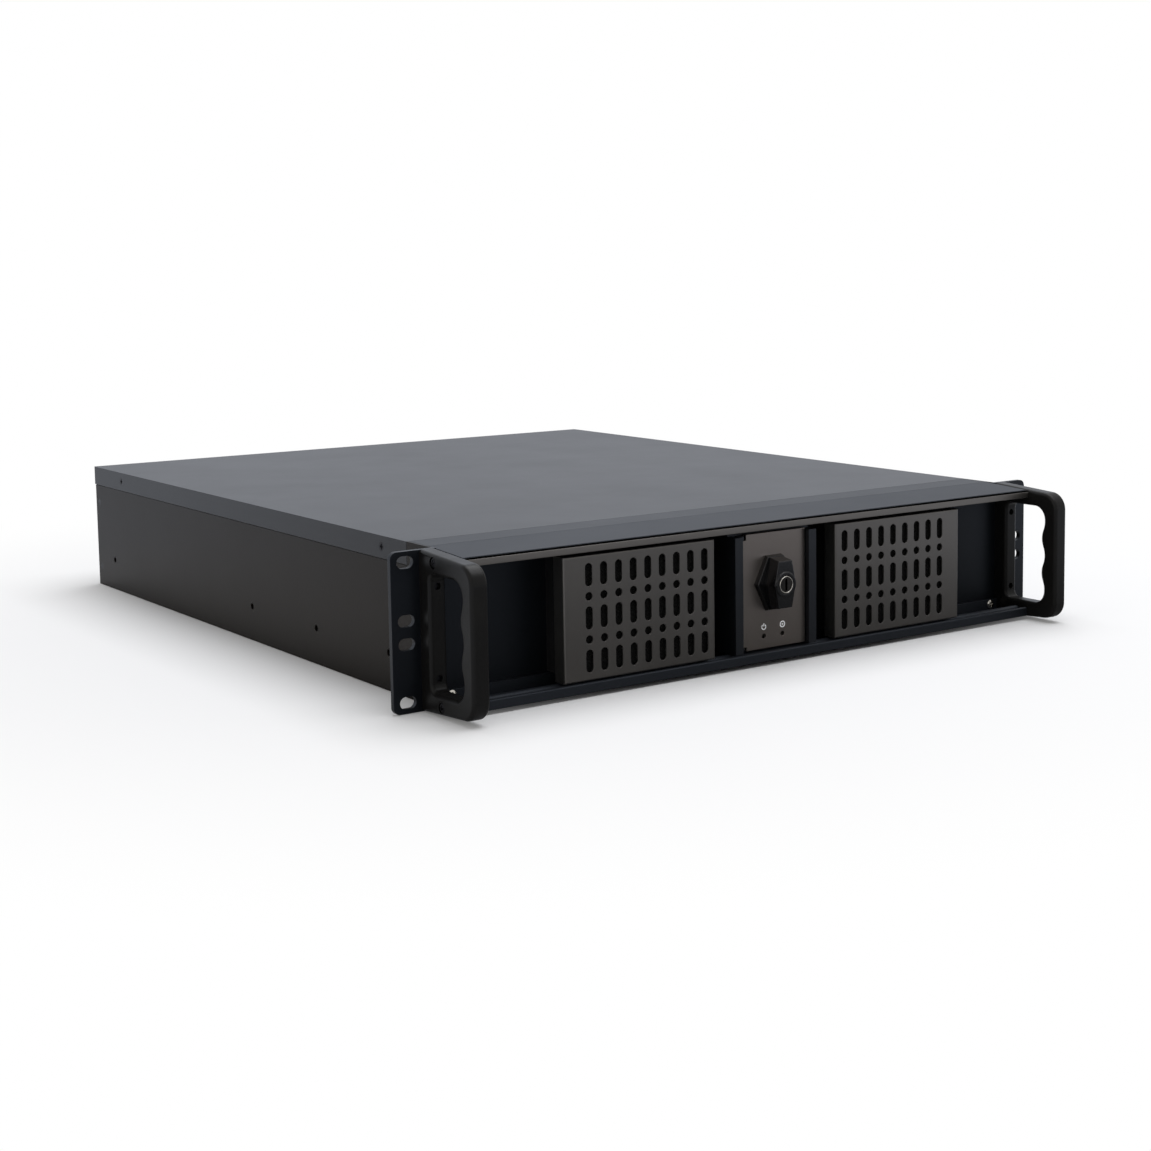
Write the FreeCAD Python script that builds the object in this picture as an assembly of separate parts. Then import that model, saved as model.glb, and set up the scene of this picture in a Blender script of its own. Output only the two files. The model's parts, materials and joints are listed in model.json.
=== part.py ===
"""Empty 2U rackmount server case with a locking centre door and two intake fans.

Working axes while modelling: X to the right seen from the front, Y to the rear with the
front face of the rack ears at Y = 0, Z up from the underside of the case. Every piece is
moved by ORIGIN on export, so that the part's origin is the bottom centre of its box.
"""
import FreeCAD, Part
import math
import os

Vector = FreeCAD.Vector

# ---------------------------------------------------------------- driving dimensions (mm)
FIT = 0.3                      # gap between pieces that are put together by hand
RUN = 0.05                     # radial running clearance of pins and spindles

# front plate with the rack ears (EIA-310, two units)
PANEL_WIDTH = 482.6
PANEL_HEIGHT = 88.0
PANEL_THICK = 3.0
EAR_CORNER = 4.0
RACK_SLOT_INSET = 8.75
RACK_SLOT_MARGIN = 5.9
RACK_INNER = 12.7
RACK_SLOT_LENGTH = 10.0
RACK_SLOT_WIDTH = 6.8

# folded case body and cover
CASE_WIDTH = 430.0
CASE_REAR = 510.0
SHEET = 1.2
COVER_THICK = 1.2
COVER_FRONT = 30.0
COVER_FLANGE = 13.0
COVER_LIP = 10.0
COVER_SCREW_INSET = 29.0
COVER_SCREW_REAR_INSET = 55.0
COVER_SCREW_DROP = 6.3
M3_RADIUS = 1.5
M3_HEAD = 2.9
M3_HEAD_HEIGHT = 1.1
RIVET_HEAD = 2.4
M4_RADIUS = 2.0
M4_HEAD = 3.6
FAN_SCREW_HEAD = 3.9
FAN_SCREW_HEAD_HEIGHT = 2.1
RAIL_HOLE_HEIGHT = 22.0
RAIL_HOLES = (53.5, 144.4, 235.3, 474.0)
INSERT_FLANGE = 4.2
INSERT_WALL = 1.0
INSERT_DEPTH = 5.0
INSERT_FLANGE_THICK = 1.0

# bezel rails
RAIL_REACH = 30.0
RAIL_TONGUE_LENGTH = 8.0
RAIL_TONGUE = 2.2
RAIL_WALL = 2.4
RAIL_DROP = 2.2
RAIL_FACE_TOP = 4.6
RAIL_FACE_BOTTOM = 5.6
RAIL_FLANGE = 10.0
RAIL_GROOVE = 0.8
RAIL_PORT_RADIUS = 2.6
RAIL_PORT_TOP = 14.5
RAIL_PORT_BOTTOM = 20.5
RAIL_PORT_DEPTH = 5.4
RAIL_SCREW_INSET = 6.0

# pull handles
HANDLE_EDGE = 27.8
HANDLE_THICK = 10.5
HANDLE_REACH = 54.0
HANDLE_TAPER = 3.2
HANDLE_CORNER = 11.0
HANDLE_BASE = 10.0
HANDLE_GRIP = 10.4
HANDLE_ARM = 12.0
HANDLE_WINDOW_CORNER = 9.0
WINDOW_BACK_CORNER = 4.4
HANDLE_ROUND = 2.2
BOLT_MARGIN = 19.0
BUMP_HEIGHT = 2.4

# grille covers, filter frames and mats
GRILLE_INNER_X = 46.3
GRILLE_WIDTH = 104.5
GRILLE_MARGIN = 8.7
GRILLE_FACE = 28.4
GRILLE_RIM = 10.0
GRILLE_SHEET = 1.2
GRILLE_ROUND = 1.0
PATTERN_X = 94.0
PATTERN_COLUMNS = 9
PATTERN_PITCH_X = 10.04
PATTERN_PITCH_Z = 12.11
SLOT_WIDTH = 4.8
SLOT_LENGTH = 13.0
NECK_INSET_X = 6.5
NECK_INSET_Z = 2.2
NECK_WALL = 3.0
MAT_THICK = 4.0

# centre housing and door
HOUSING_HALF = 31.0
JAMB_INNER = 25.3
JAMB_DROP = 10.0
CAVITY_HALF = 23.0
CAVITY_WALL = 2.4
DOOR_FACE = 25.0
DOOR_THICK = 4.0
DOOR_GAP = 0.5
LUG_HEIGHT = 2.4
DOOR_PIN_RADIUS = 1.0
DOOR_PIN_LENGTH = 6.0

# lock
CAM_ROOM = 0.9
LOCK_SPINDLE = 5.0
ROSETTE_HALF_HEIGHT = 16.6
ROSETTE_HALF_WIDTH = 14.4
ROSETTE_THICK = 3.0
ROSETTE_FLAT = 6.0
KNOB_HALF_HEIGHT = 15.6
KNOB_HALF_WIDTH = 9.5
KNOB_FLAT = 5.0
KNOB_LENGTH = 8.6
KNOB_TAPER = 0.8
KNOB_COLLAR = 7.4
PLUG_RADIUS = 5.4
PLUG_LENGTH = 9.0
KEYWAY_WIDTH = 1.6
KEYWAY_HEIGHT = 7.0
KEYWAY_DEPTH = 5.0
CAM_THICK = 1.5
CAM_HALF = 4.0
CAM_LENGTH = 27.5
LOCK_NUT_RADIUS = 8.5
LOCK_NUT_THICK = 1.6
LAMP_X = 7.15
LAMP_Z = 16.6
LAMP_RADIUS = 1.5

# control unit behind the centre door
BRACKET_SETBACK = 5.0
BRACKET_THICK = 1.2
BOARD_THICK = 1.6
BOARD_GAP = 4.0
BUTTON_DROP = 24.0
POWER_X = -10.0
POWER_RADIUS = 6.0
RESET_X = 12.0
RESET_RADIUS = 3.0
BUTTON_PROUD = 6.0
BUTTON_FLANGE = 1.0
BUTTON_TRAVEL = 1.5
USB_X = 9.5
USB_Z = 34.0
USB_WIDTH = 13.2
USB_HEIGHT = 5.8
USB_DEPTH = 14.0
USB_WALL = 0.5
USB_PROUD = 2.0

# fans
FAN_ROOM = 4.0
FAN_DEPTH = 25.0
FAN_RING = 2.0
FAN_HOLE_INSET = 4.25
FAN_HOLE_RADIUS = 2.2
FAN_FLANGE = 4.0
FAN_HUB = 18.0
FAN_BLADES = 7
FAN_TIP_GAP = 1.2
FAN_BLADE_THICK = 1.4
FAN_BLADE_PITCH = 38.0
FAN_BLADE_DEPTH = 15.0
FAN_BLADE_ROOT = 3.0
FAN_BASE_THICK = 4.0
FAN_STRUT = 5.0
FAN_SHAFT = 1.5

# drive cages
CAGE_INNER = 102.4
CAGE_FRONT = 46.0
CAGE_DEPTH = 148.0
CAGE_DROP = 10.0
CAGE_FOOT = 10.0
DRIVE_PITCH = 27.0
DRIVE_COUNT = 2
DRIVE_FIRST = 12.0
DRIVE_HOLES = (28.5, 130.1)
CAGE_WINDOW_INSET = 40.0

# mainboard seat (ATX pattern)
BOARD_SIDE_GAP = 9.8
BOARD_WIDTH = 304.8
BOARD_HOLE_EDGE = 6.35
BOARD_COLUMN_A = 124.46
BOARD_COLUMN_B = 157.48
BOARD_ROW_REAR = 10.16
BOARD_ROW_A = 154.94
BOARD_ROW_B = 72.39
STANDOFF_HEIGHT = 6.5
STANDOFF_RADIUS = 3.0

# rear wall
REAR_LIP = 12.0
PORT_WIDTH = 158.75
PORT_HEIGHT = 44.45
PORT_OFFSET = 5.0
SLOT_PITCH = 20.32
SLOT_COUNT = 7
CARD_SLOT_WIDTH = 14.0
CARD_SLOT_DROP = 18.0
CARD_SLOT_FOOT = 10.0
BLANK_WIDTH = 18.4
BLANK_THICK = 0.9
BLANK_FOOT = 11.0
SLOT_SCREW_GRIP = 3.0
LEDGE_THICK = 1.6
SUPPLY_WIDTH = 88.0
SUPPLY_DROP = 12.0
SUPPLY_SIDE_GAP = 12.8
SUPPLY_FLOOR = 14.0
SUPPLY_DEPTH = 180.0
SUPPLY_SCREW_MARGIN = 5.0
SUPPLY_RAIL = 12.0
VENT_WIDTH = 4.0
VENT_LENGTH = 12.0
VENT_PITCH = 9.0
VENT_COUNT = 15

# cover support bar
BAR_Y = 222.0
BAR_WIDTH = 22.0
BAR_DEPTH = 12.0

# ---------------------------------------------------------------- values that follow
MID_Z = PANEL_HEIGHT / 2
CASE_HALF = CASE_WIDTH / 2
COVER_UNDER = PANEL_HEIGHT - COVER_THICK
SEAM_Z = PANEL_HEIGHT - COVER_FLANGE
BODY_REAR = CASE_REAR - COVER_THICK - FIT
NOTCH_TOP = PANEL_HEIGHT - RAIL_TONGUE - FIT
NOTCH_BOTTOM = PANEL_HEIGHT - NOTCH_TOP
BODY_FRONT = PANEL_THICK
WALL_INNER = CASE_HALF - SHEET
UPPER_OUTER = CASE_HALF - COVER_THICK - FIT
UPPER_INNER = UPPER_OUTER - SHEET
FAN_X = GRILLE_INNER_X + GRILLE_WIDTH / 2
RACK_COLUMNS = PANEL_WIDTH - 2 * RACK_SLOT_INSET
RACK_OUTER = PANEL_HEIGHT - 2 * RACK_SLOT_MARGIN
HANDLE_INNER = PANEL_WIDTH / 2 - HANDLE_EDGE
BOLT_SPACING = PANEL_HEIGHT - 2 * BOLT_MARGIN
BUMP_PITCH = MID_Z - HANDLE_ARM - HANDLE_WINDOW_CORNER - FIT
GRILLE_TOP = PANEL_HEIGHT - GRILLE_MARGIN
GRILLE_BOTTOM = GRILLE_MARGIN
JAMB_TOP = PANEL_HEIGHT - JAMB_DROP
LOCK_Z = GRILLE_TOP - CAVITY_WALL - CAM_LENGTH - CAM_ROOM
BUTTON_Z = PANEL_HEIGHT - BUTTON_DROP
FAN_SIZE = PANEL_HEIGHT - 2 * FAN_ROOM
FAN_BORE = FAN_SIZE / 2 - FAN_RING
FAN_HOLES = FAN_SIZE - 2 * FAN_HOLE_INSET
CAGE_TOP = PANEL_HEIGHT - CAGE_DROP
BOARD_LEFT = -(WALL_INNER - BOARD_SIDE_GAP)
CARD_SLOT_HEIGHT = PANEL_HEIGHT - CARD_SLOT_FOOT - CARD_SLOT_DROP
SUPPLY_HEIGHT = PANEL_HEIGHT - SUPPLY_FLOOR - SUPPLY_DROP
SUPPLY_CENTRE = WALL_INNER - SUPPLY_SIDE_GAP - SUPPLY_WIDTH / 2
FAN_FRONT = BODY_FRONT + SHEET
RAIL_HALF = min(HANDLE_INNER, WALL_INNER) - FIT
DOOR_BACK = DOOR_FACE - DOOR_THICK
DOOR_PIVOT_Y = DOOR_FACE - DOOR_THICK / 2
DOOR_HALF = JAMB_INNER - DOOR_GAP
DOOR_PIVOT_X = -(DOOR_HALF - DOOR_THICK / 2)
HOUSING_BACK = DOOR_BACK - FIT
CAM_FRONT = -DOOR_BACK + LOCK_NUT_THICK + FIT
ORIGIN = Vector(0, (HANDLE_REACH - CASE_REAR) / 2, 0)


# ---------------------------------------------------------------- helpers
def box(x0, x1, y0, y1, z0, z1):
    return Part.makeBox(x1 - x0, y1 - y0, z1 - z0, Vector(x0, y0, z0))


def rod_y(x, z, y0, y1, radius):
    return Part.makeCylinder(radius, y1 - y0, Vector(x, y0, z), Vector(0, 1, 0))


def rod_x(y, z, x0, x1, radius):
    return Part.makeCylinder(radius, x1 - x0, Vector(x0, y, z), Vector(1, 0, 0))


def rod_z(x, y, z0, z1, radius):
    return Part.makeCylinder(radius, z1 - z0, Vector(x, y, z0), Vector(0, 0, 1))


def prism_yz(points, x0, x1):
    """A closed outline given as (y, z), drawn out from x0 to x1."""
    corners = [Vector(x0, y, z) for y, z in points]
    face = Part.Face(Part.makePolygon(corners + corners[:1]))
    return face.extrude(Vector(x1 - x0, 0, 0))


def prism_xz(points, y0, y1):
    """A closed outline given as (x, z), drawn out from y0 to y1."""
    corners = [Vector(x, y0, z) for x, z in points]
    face = Part.Face(Part.makePolygon(corners + corners[:1]))
    return face.extrude(Vector(0, y1 - y0, 0))


def prism_xy(points, z0, z1):
    """A closed outline given as (x, y), drawn out from z0 to z1."""
    corners = [Vector(x, y, z0) for x, y in points]
    face = Part.Face(Part.makePolygon(corners + corners[:1]))
    return face.extrude(Vector(0, 0, z1 - z0))


def obround(x, z, along_x, along_z, y0, y1):
    """A slot with round ends through y0..y1, its full lengths along X and Z."""
    radius = min(along_x, along_z) / 2
    run_x = along_x / 2 - radius
    run_z = along_z / 2 - radius
    if along_x > along_z:
        ends = [(x - run_x, z), (x + run_x, z)]
        middle = box(x - run_x, x + run_x, y0, y1, z - radius, z + radius)
    else:
        ends = [(x, z - run_z), (x, z + run_z)]
        middle = box(x - radius, x + radius, y0, y1, z - run_z, z + run_z)
    rods = [rod_y(ex, ez, y0, y1, radius) for ex, ez in ends]
    return middle.multiFuse(rods).removeSplitter()


def mirror_x(shape):
    return shape.mirror(Vector(0, 0, 0), Vector(1, 0, 0))


def mirror_mid(shape):
    """Turn a piece made for the top of the front into its twin for the bottom."""
    return shape.mirror(Vector(0, 0, MID_Z), Vector(0, 0, 1))


def edges_along(shape, direction, test):
    """Straight edges parallel to a direction whose middle passes the test."""
    chosen = []
    for edge in shape.Edges:
        if not isinstance(edge.Curve, Part.Line):
            continue
        first, last = edge.Vertexes[0].Point, edge.Vertexes[-1].Point
        line = (last - first).normalize()
        if abs(abs(line.dot(direction)) - 1) < 1e-6 and test((first + last) * 0.5):
            chosen.append(edge)
    return chosen


def pan_screw(x, y, z, direction, shank, shank_radius, head_radius, head_height):
    """A raised screw: the head's seat is at (x, y, z) and the shank goes along direction."""
    seat = Vector(x, y, z)
    body = Part.makeCylinder(shank_radius, shank, seat, direction)
    head = Part.makeCylinder(head_radius, head_height, seat, direction * -1)
    return body.fuse(head).removeSplitter()


def flush_screw(x, y, z, direction, shank, shank_radius, head_radius):
    """A countersunk screw whose head lies flush at (x, y, z)."""
    seat = Vector(x, y, z)
    depth = head_radius - shank_radius
    cone = Part.makeCone(head_radius, shank_radius, depth, seat, direction)
    body = Part.makeCylinder(shank_radius, shank, seat, direction)
    return cone.fuse(body).removeSplitter()


# ---------------------------------------------------------------- front plate and shell
def panel_outline():
    """Full height at the ears, stepped down between the handles for the rails' tongues."""
    half = PANEL_WIDTH / 2
    step = HANDLE_INNER
    right = [(step, 0), (half, 0), (half, PANEL_HEIGHT), (step, PANEL_HEIGHT)]
    top = [(step, NOTCH_TOP), (-step, NOTCH_TOP)]
    left = [(-step, PANEL_HEIGHT), (-half, PANEL_HEIGHT), (-half, 0), (-step, 0)]
    return right + top + left + [(-step, NOTCH_BOTTOM), (step, NOTCH_BOTTOM)]


def rack_slots(y0, y1):
    slots = []
    for side in (-1, 1):
        for spacing in (RACK_OUTER, RACK_INNER):
            for end in (-1, 1):
                slots.append(obround(side * RACK_COLUMNS / 2, MID_Z + end * spacing / 2,
                                     RACK_SLOT_LENGTH, RACK_SLOT_WIDTH, y0, y1))
    return slots


def fan_screw_places(side):
    return [(side * FAN_X + a * FAN_HOLES / 2, MID_Z + b * FAN_HOLES / 2)
            for a in (-1, 1) for b in (-1, 1)]


def front_openings(y0, y1):
    """Air openings for both fans and the opening behind the centre housing."""
    cuts = [rod_y(side * FAN_X, MID_Z, y0, y1, FAN_BORE) for side in (-1, 1)]
    cuts.append(box(-CAVITY_HALF, CAVITY_HALF, y0, y1,
                    GRILLE_BOTTOM + CAVITY_WALL, GRILLE_TOP - CAVITY_WALL))
    return cuts


def handle_bolt_places():
    centre = HANDLE_INNER + HANDLE_THICK / 2
    return [(side * centre, MID_Z + end * BOLT_SPACING / 2) for side in (-1, 1) for end in (-1, 1)]


def rail_screw_places():
    x = RAIL_HALF - RAIL_SCREW_INSET
    z = PANEL_HEIGHT - RAIL_FLANGE + M3_HEAD + FIT
    return [(side * x, height) for side in (-1, 1) for height in (PANEL_HEIGHT - z, z)]


def front_plate():
    plate = prism_xz(panel_outline(), 0, PANEL_THICK)
    corners = edges_along(plate, Vector(0, 1, 0), lambda p: abs(p.x) > PANEL_WIDTH / 2 - 1)
    plate = plate.makeFillet(min(EAR_CORNER, (PANEL_WIDTH / 2 - HANDLE_INNER) / 2), corners)
    cuts = rack_slots(-1, PANEL_THICK + 1) + front_openings(-1, PANEL_THICK + 1)
    cuts += [flush_screw(x, PANEL_THICK, z, Vector(0, -1, 0), PANEL_THICK + 1, M4_RADIUS,
                         M4_HEAD) for x, z in handle_bolt_places()]
    cuts += [rod_y(x, z, -1, PANEL_THICK + 1, M3_RADIUS) for x, z in rail_screw_places()]
    return plate.cut(cuts)


def tray_section(straight):
    """Half section of the folded body: floor, side and the inturned top edge that
    carries the cover. Ahead of the cover the side runs straight up to the full height."""
    if straight:
        return [(CASE_HALF, 0), (CASE_HALF, PANEL_HEIGHT), (WALL_INNER, PANEL_HEIGHT)]
    joggle = SEAM_Z - FIT
    return [(CASE_HALF, 0), (CASE_HALF, joggle), (UPPER_OUTER, joggle),
            (UPPER_OUTER, COVER_UNDER), (UPPER_OUTER - COVER_LIP, COVER_UNDER),
            (UPPER_OUTER - COVER_LIP, COVER_UNDER - SHEET), (UPPER_INNER, COVER_UNDER - SHEET),
            (UPPER_INNER, joggle - SHEET), (WALL_INNER, joggle - SHEET)]


def tray_length(straight, y0, y1):
    half = tray_section(straight) + [(WALL_INNER, SHEET)]
    other = [(-x, z) for x, z in reversed(half)]
    return prism_xz(half + other, y0, y1)


def cover_screw_places():
    return (COVER_FRONT + COVER_SCREW_INSET, CASE_REAR - COVER_SCREW_REAR_INSET)


def case_body():
    """Folded tray: floor and sides, with the inturned top edges that carry the cover."""
    front = tray_length(True, BODY_FRONT, COVER_FRONT - FIT)
    rest = tray_length(False, COVER_FRONT - FIT, BODY_REAR - SHEET)
    body = front.fuse(rest).removeSplitter()
    cuts = [box(-RAIL_HALF - FIT, RAIL_HALF + FIT, BODY_FRONT - 1, RAIL_TONGUE_LENGTH + FIT,
                -1, RAIL_TONGUE + FIT)]
    for y in RAIL_HOLES:
        cuts.append(rod_x(y, RAIL_HOLE_HEIGHT, -CASE_HALF - 1, CASE_HALF + 1,
                          M4_RADIUS + INSERT_WALL))
    screw_z = PANEL_HEIGHT - COVER_SCREW_DROP
    for y in cover_screw_places():
        cuts.append(rod_x(y, screw_z, -CASE_HALF - 1, CASE_HALF + 1, M3_RADIUS))
    for z in rivet_heights():
        cuts += [flush_screw(side * CASE_HALF, rivet_y(), z, Vector(-side, 0, 0), 2 * SHEET,
                             M3_RADIUS, RIVET_HEAD) for side in (-1, 1)]
    return body.cut(cuts)


def fan_bracket():
    """Right fan bracket: sheet behind the front plate that carries the fan, stepped over
    the bottom rail's tongue down to the floor."""
    y0 = BODY_FRONT
    low = RAIL_TONGUE + FIT
    step = RAIL_TONGUE_LENGTH + FIT
    outline = [(y0, NOTCH_TOP), (y0, low), (step, low), (step, SHEET), (step + SHEET, SHEET),
               (step + SHEET, low + SHEET), (y0 + SHEET, low + SHEET), (y0 + SHEET, NOTCH_TOP)]
    sheet = prism_yz(outline, CAVITY_HALF, WALL_INNER)
    back = y0 + SHEET + 1
    cuts = [rod_y(FAN_X, MID_Z, y0 - 1, back, FAN_BORE)]
    cuts += [rod_y(x, z, y0 - 1, back, FAN_HOLE_RADIUS) for x, z in fan_screw_places(1)]
    cuts += [rod_y(x, z, y0 - 1, back, M3_RADIUS) for x, z in rail_screw_places() if x > 0]
    return sheet.cut(cuts)


def front_bridge():
    """Folded strip between the bezel's top rail and the cover: a shelf under the rail's
    tongue at the front, and a lowered lip that carries the cover's front edge."""
    half = WALL_INNER - FIT
    y0 = RAIL_TONGUE_LENGTH + FIT
    y1 = COVER_FRONT - FIT
    shelf = NOTCH_TOP
    lip = COVER_UNDER - FIT
    outline = [(BODY_FRONT + SHEET, shelf), (BODY_FRONT + SHEET, shelf - SHEET),
               (y0 + SHEET, shelf - SHEET), (y0 + SHEET, PANEL_HEIGHT - SHEET),
               (y1 - SHEET, PANEL_HEIGHT - SHEET), (y1 - SHEET, lip - SHEET),
               (y1, lip - SHEET), (y1, PANEL_HEIGHT), (y0, PANEL_HEIGHT), (y0, shelf)]
    strip = prism_yz(outline, -half, half)
    reach = UPPER_OUTER - COVER_LIP - FIT
    return strip.fuse(box(-reach, reach, y1 - SHEET, y1 + COVER_LIP, lip - SHEET, lip))


def top_cover():
    """The flat cover with turned-down flanges along both sides and the rear."""
    outer = box(-CASE_HALF, CASE_HALF, COVER_FRONT, CASE_REAR, SEAM_Z, PANEL_HEIGHT)
    corners = edges_along(outer, Vector(0, 0, 1), lambda p: p.y > CASE_REAR - 1)
    outer = outer.makeFillet(COVER_THICK + FIT, corners)
    inner = box(-CASE_HALF + COVER_THICK, CASE_HALF - COVER_THICK, COVER_FRONT - 1,
                CASE_REAR - COVER_THICK, SEAM_Z - 1, COVER_UNDER)
    cover = outer.cut(inner)
    z = PANEL_HEIGHT - COVER_SCREW_DROP
    cuts = []
    for y in cover_screw_places():
        for side in (-1, 1):
            cuts.append(flush_screw(side * CASE_HALF, y, z, Vector(-side, 0, 0),
                                    COVER_THICK + 1, M3_RADIUS, M3_HEAD))
    for x in rear_screw_places():
        cuts.append(flush_screw(x, CASE_REAR, z, Vector(0, -1, 0), COVER_THICK + 1,
                                M3_RADIUS, M3_HEAD))
    return cover.cut(cuts)


def rear_screw_places():
    return [share * (CASE_HALF - COVER_SCREW_INSET) for share in (-1, 0, 1)]


def cover_screws():
    z = PANEL_HEIGHT - COVER_SCREW_DROP
    screws = []
    for y in cover_screw_places():
        for side in (-1, 1):
            screws.append(flush_screw(side * CASE_HALF, y, z, Vector(-side, 0, 0),
                                      COVER_THICK + FIT + 3 * SHEET, M3_RADIUS, M3_HEAD))
    for x in rear_screw_places():
        screws.append(flush_screw(x, CASE_REAR, z, Vector(0, -1, 0),
                                  COVER_THICK + FIT + 3 * SHEET, M3_RADIUS, M3_HEAD))
    return Part.makeCompound(screws)


def slide_inserts():
    """Flanged M4 inserts in the sides, where slide rails are screwed on."""
    inserts = []
    for side in (-1, 1):
        for y in RAIL_HOLES:
            x0, x1 = sorted((side * WALL_INNER, side * (WALL_INNER - INSERT_FLANGE_THICK)))
            flange = rod_x(y, RAIL_HOLE_HEIGHT, x0, x1, INSERT_FLANGE)
            x2, x3 = sorted((side * CASE_HALF, side * (WALL_INNER - INSERT_DEPTH)))
            barrel = rod_x(y, RAIL_HOLE_HEIGHT, x2, x3, M4_RADIUS + INSERT_WALL)
            bore = rod_x(y, RAIL_HOLE_HEIGHT, x2 - 1, x3 + 1, M4_RADIUS)
            inserts.append(flange.fuse(barrel).cut(bore))
    return Part.makeCompound(inserts)


# ---------------------------------------------------------------- bezel
def rail_outer(y):
    """Height of a top rail's sloping upper face at a place along Y."""
    run = RAIL_REACH + RAIL_TONGUE_LENGTH
    return PANEL_HEIGHT - RAIL_DROP * (RAIL_TONGUE_LENGTH - y) / run


def bezel_rail(face, port):
    """Extruded rail: a tongue over the plate, a shelf, a front lip and a rear flange."""
    back = RAIL_TONGUE_LENGTH
    front = -RAIL_REACH
    lip = front + RAIL_WALL
    outline = [(back, PANEL_HEIGHT), (front, rail_outer(front)),
               (front, rail_outer(front) - face), (lip, rail_outer(front) - face),
               (lip, rail_outer(lip) - RAIL_WALL), (-RAIL_WALL, rail_outer(0) - RAIL_WALL - FIT),
               (-RAIL_WALL, PANEL_HEIGHT - RAIL_FLANGE), (0, PANEL_HEIGHT - RAIL_FLANGE),
               (0, PANEL_HEIGHT - RAIL_TONGUE), (back, PANEL_HEIGHT - RAIL_TONGUE)]
    rail = prism_yz(outline, -RAIL_HALF, RAIL_HALF)
    nose = edges_along(rail, Vector(1, 0, 0), lambda p: p.y < front + 0.01)
    rail = rail.makeFillet(RAIL_WALL / 4, nose)
    boss = rod_x(-port, PANEL_HEIGHT - RAIL_PORT_DEPTH, -RAIL_HALF, RAIL_HALF,
                 RAIL_PORT_RADIUS)
    groove = rod_x(lip - RAIL_GROOVE, rail_outer(lip), -RAIL_HALF - 1, RAIL_HALF + 1,
                   RAIL_GROOVE)
    bore = rod_x(-port, PANEL_HEIGHT - RAIL_PORT_DEPTH, -RAIL_HALF - 1, RAIL_HALF + 1,
                 M3_RADIUS)
    cuts = [groove, bore]
    for x, z in rail_screw_places():
        cuts.append(rod_y(x, max(z, PANEL_HEIGHT - z), -RAIL_WALL - 1, 1, M3_RADIUS + RUN))
    return rail.fuse(boss).removeSplitter().cut(cuts)


def rail_screws():
    return Part.makeCompound([pan_screw(x, -RAIL_WALL, z, Vector(0, 1, 0),
                                        RAIL_WALL + PANEL_THICK, M3_RADIUS, M3_HEAD,
                                        M3_HEAD_HEIGHT)
                              for x, z in rail_screw_places()])


def three_point_arc(first, middle, last):
    """An arc in the plane of the handle's inner side through three (y, z) places."""
    places = [Vector(HANDLE_INNER, y, z) for y, z in (first, middle, last)]
    return Part.Arc(*places).toShape()


def straight(first, last):
    return Part.makeLine(Vector(HANDLE_INNER, *first), Vector(HANDLE_INNER, *last))


def finger_bumps(front):
    """Two rounded bumps between the fingers, as a chain of arcs that run into each other."""
    quarter = BUMP_PITCH / 4
    half = BUMP_HEIGHT / 2
    radius = (quarter ** 2 + half ** 2) / BUMP_HEIGHT
    sag = radius - math.sqrt(radius ** 2 - (quarter / 2) ** 2)
    z = MID_Z - BUMP_PITCH
    arcs = [three_point_arc((front, z), (front + sag, z + quarter / 2), (front + half, z + quarter))]
    for turn in range(3):
        start = z + quarter + turn * 2 * quarter
        tip = front + BUMP_HEIGHT if turn % 2 == 0 else front
        arcs.append(three_point_arc((front + half, start), (tip, start + quarter),
                                    (front + half, start + 2 * quarter)))
    end = z + 2 * BUMP_PITCH
    arcs.append(three_point_arc((front + half, end - quarter), (front + sag, end - quarter / 2),
                                (front, end)))
    return arcs


def handle_window():
    """The finger opening: rounded corners, and the bumps along its front edge."""
    back = -HANDLE_BASE
    front = -(HANDLE_REACH - HANDLE_GRIP)
    low = HANDLE_ARM
    high = PANEL_HEIGHT - HANDLE_ARM
    r = HANDLE_WINDOW_CORNER
    bend = r * (1 - math.sqrt(0.5))
    small = WINDOW_BACK_CORNER
    turn = small * (1 - math.sqrt(0.5))
    edges = [straight((back - small, low), (front + r, low)),
             three_point_arc((front + r, low), (front + bend, low + bend), (front, low + r)),
             straight((front, low + r), (front, MID_Z - BUMP_PITCH))]
    edges += finger_bumps(front)
    edges += [straight((front, MID_Z + BUMP_PITCH), (front, high - r)),
              three_point_arc((front, high - r), (front + bend, high - bend), (front + r, high)),
              straight((front + r, high), (back - small, high)),
              three_point_arc((back - small, high), (back - turn, high - turn),
                              (back, high - small)),
              straight((back, high - small), (back, low + small)),
              three_point_arc((back, low + small), (back - turn, low + turn),
                              (back - small, low))]
    face = Part.Face(Part.Wire(edges))
    return face.extrude(Vector(HANDLE_THICK, 0, 0))


def right_handle():
    """D-shaped handle: a ring of even thickness that tapers towards its front grip."""
    x0 = HANDLE_INNER
    x1 = HANDLE_INNER + HANDLE_THICK
    outline = [(0, 0), (0, PANEL_HEIGHT), (-HANDLE_REACH, PANEL_HEIGHT - HANDLE_TAPER),
               (-HANDLE_REACH, HANDLE_TAPER)]
    ring = prism_yz(outline, x0, x1)
    noses = edges_along(ring, Vector(1, 0, 0), lambda p: p.y < 1 - HANDLE_REACH)
    ring = ring.makeFillet(HANDLE_CORNER, noses).cut(handle_window())
    sides = [edge for edge in ring.Edges
             if edge.BoundBox.XLength < 0.01 and edge.BoundBox.YMin < -1]
    ring = ring.makeFillet(HANDLE_ROUND, sides)
    cuts = []
    for port, z in side_screw_places():
        cuts.append(rod_x(-port, z, x0 - 1, x1 + 1, M3_RADIUS + RUN))
        cuts.append(rod_x(-port, z, x1 - M3_HEAD_HEIGHT, x1 + 1, M3_HEAD + FIT))
    for x, z in handle_bolt_places():
        if x > 0:
            cuts.append(rod_y(x, z, -HANDLE_BASE, 1, M4_RADIUS))
    return ring.cut(cuts)


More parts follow.
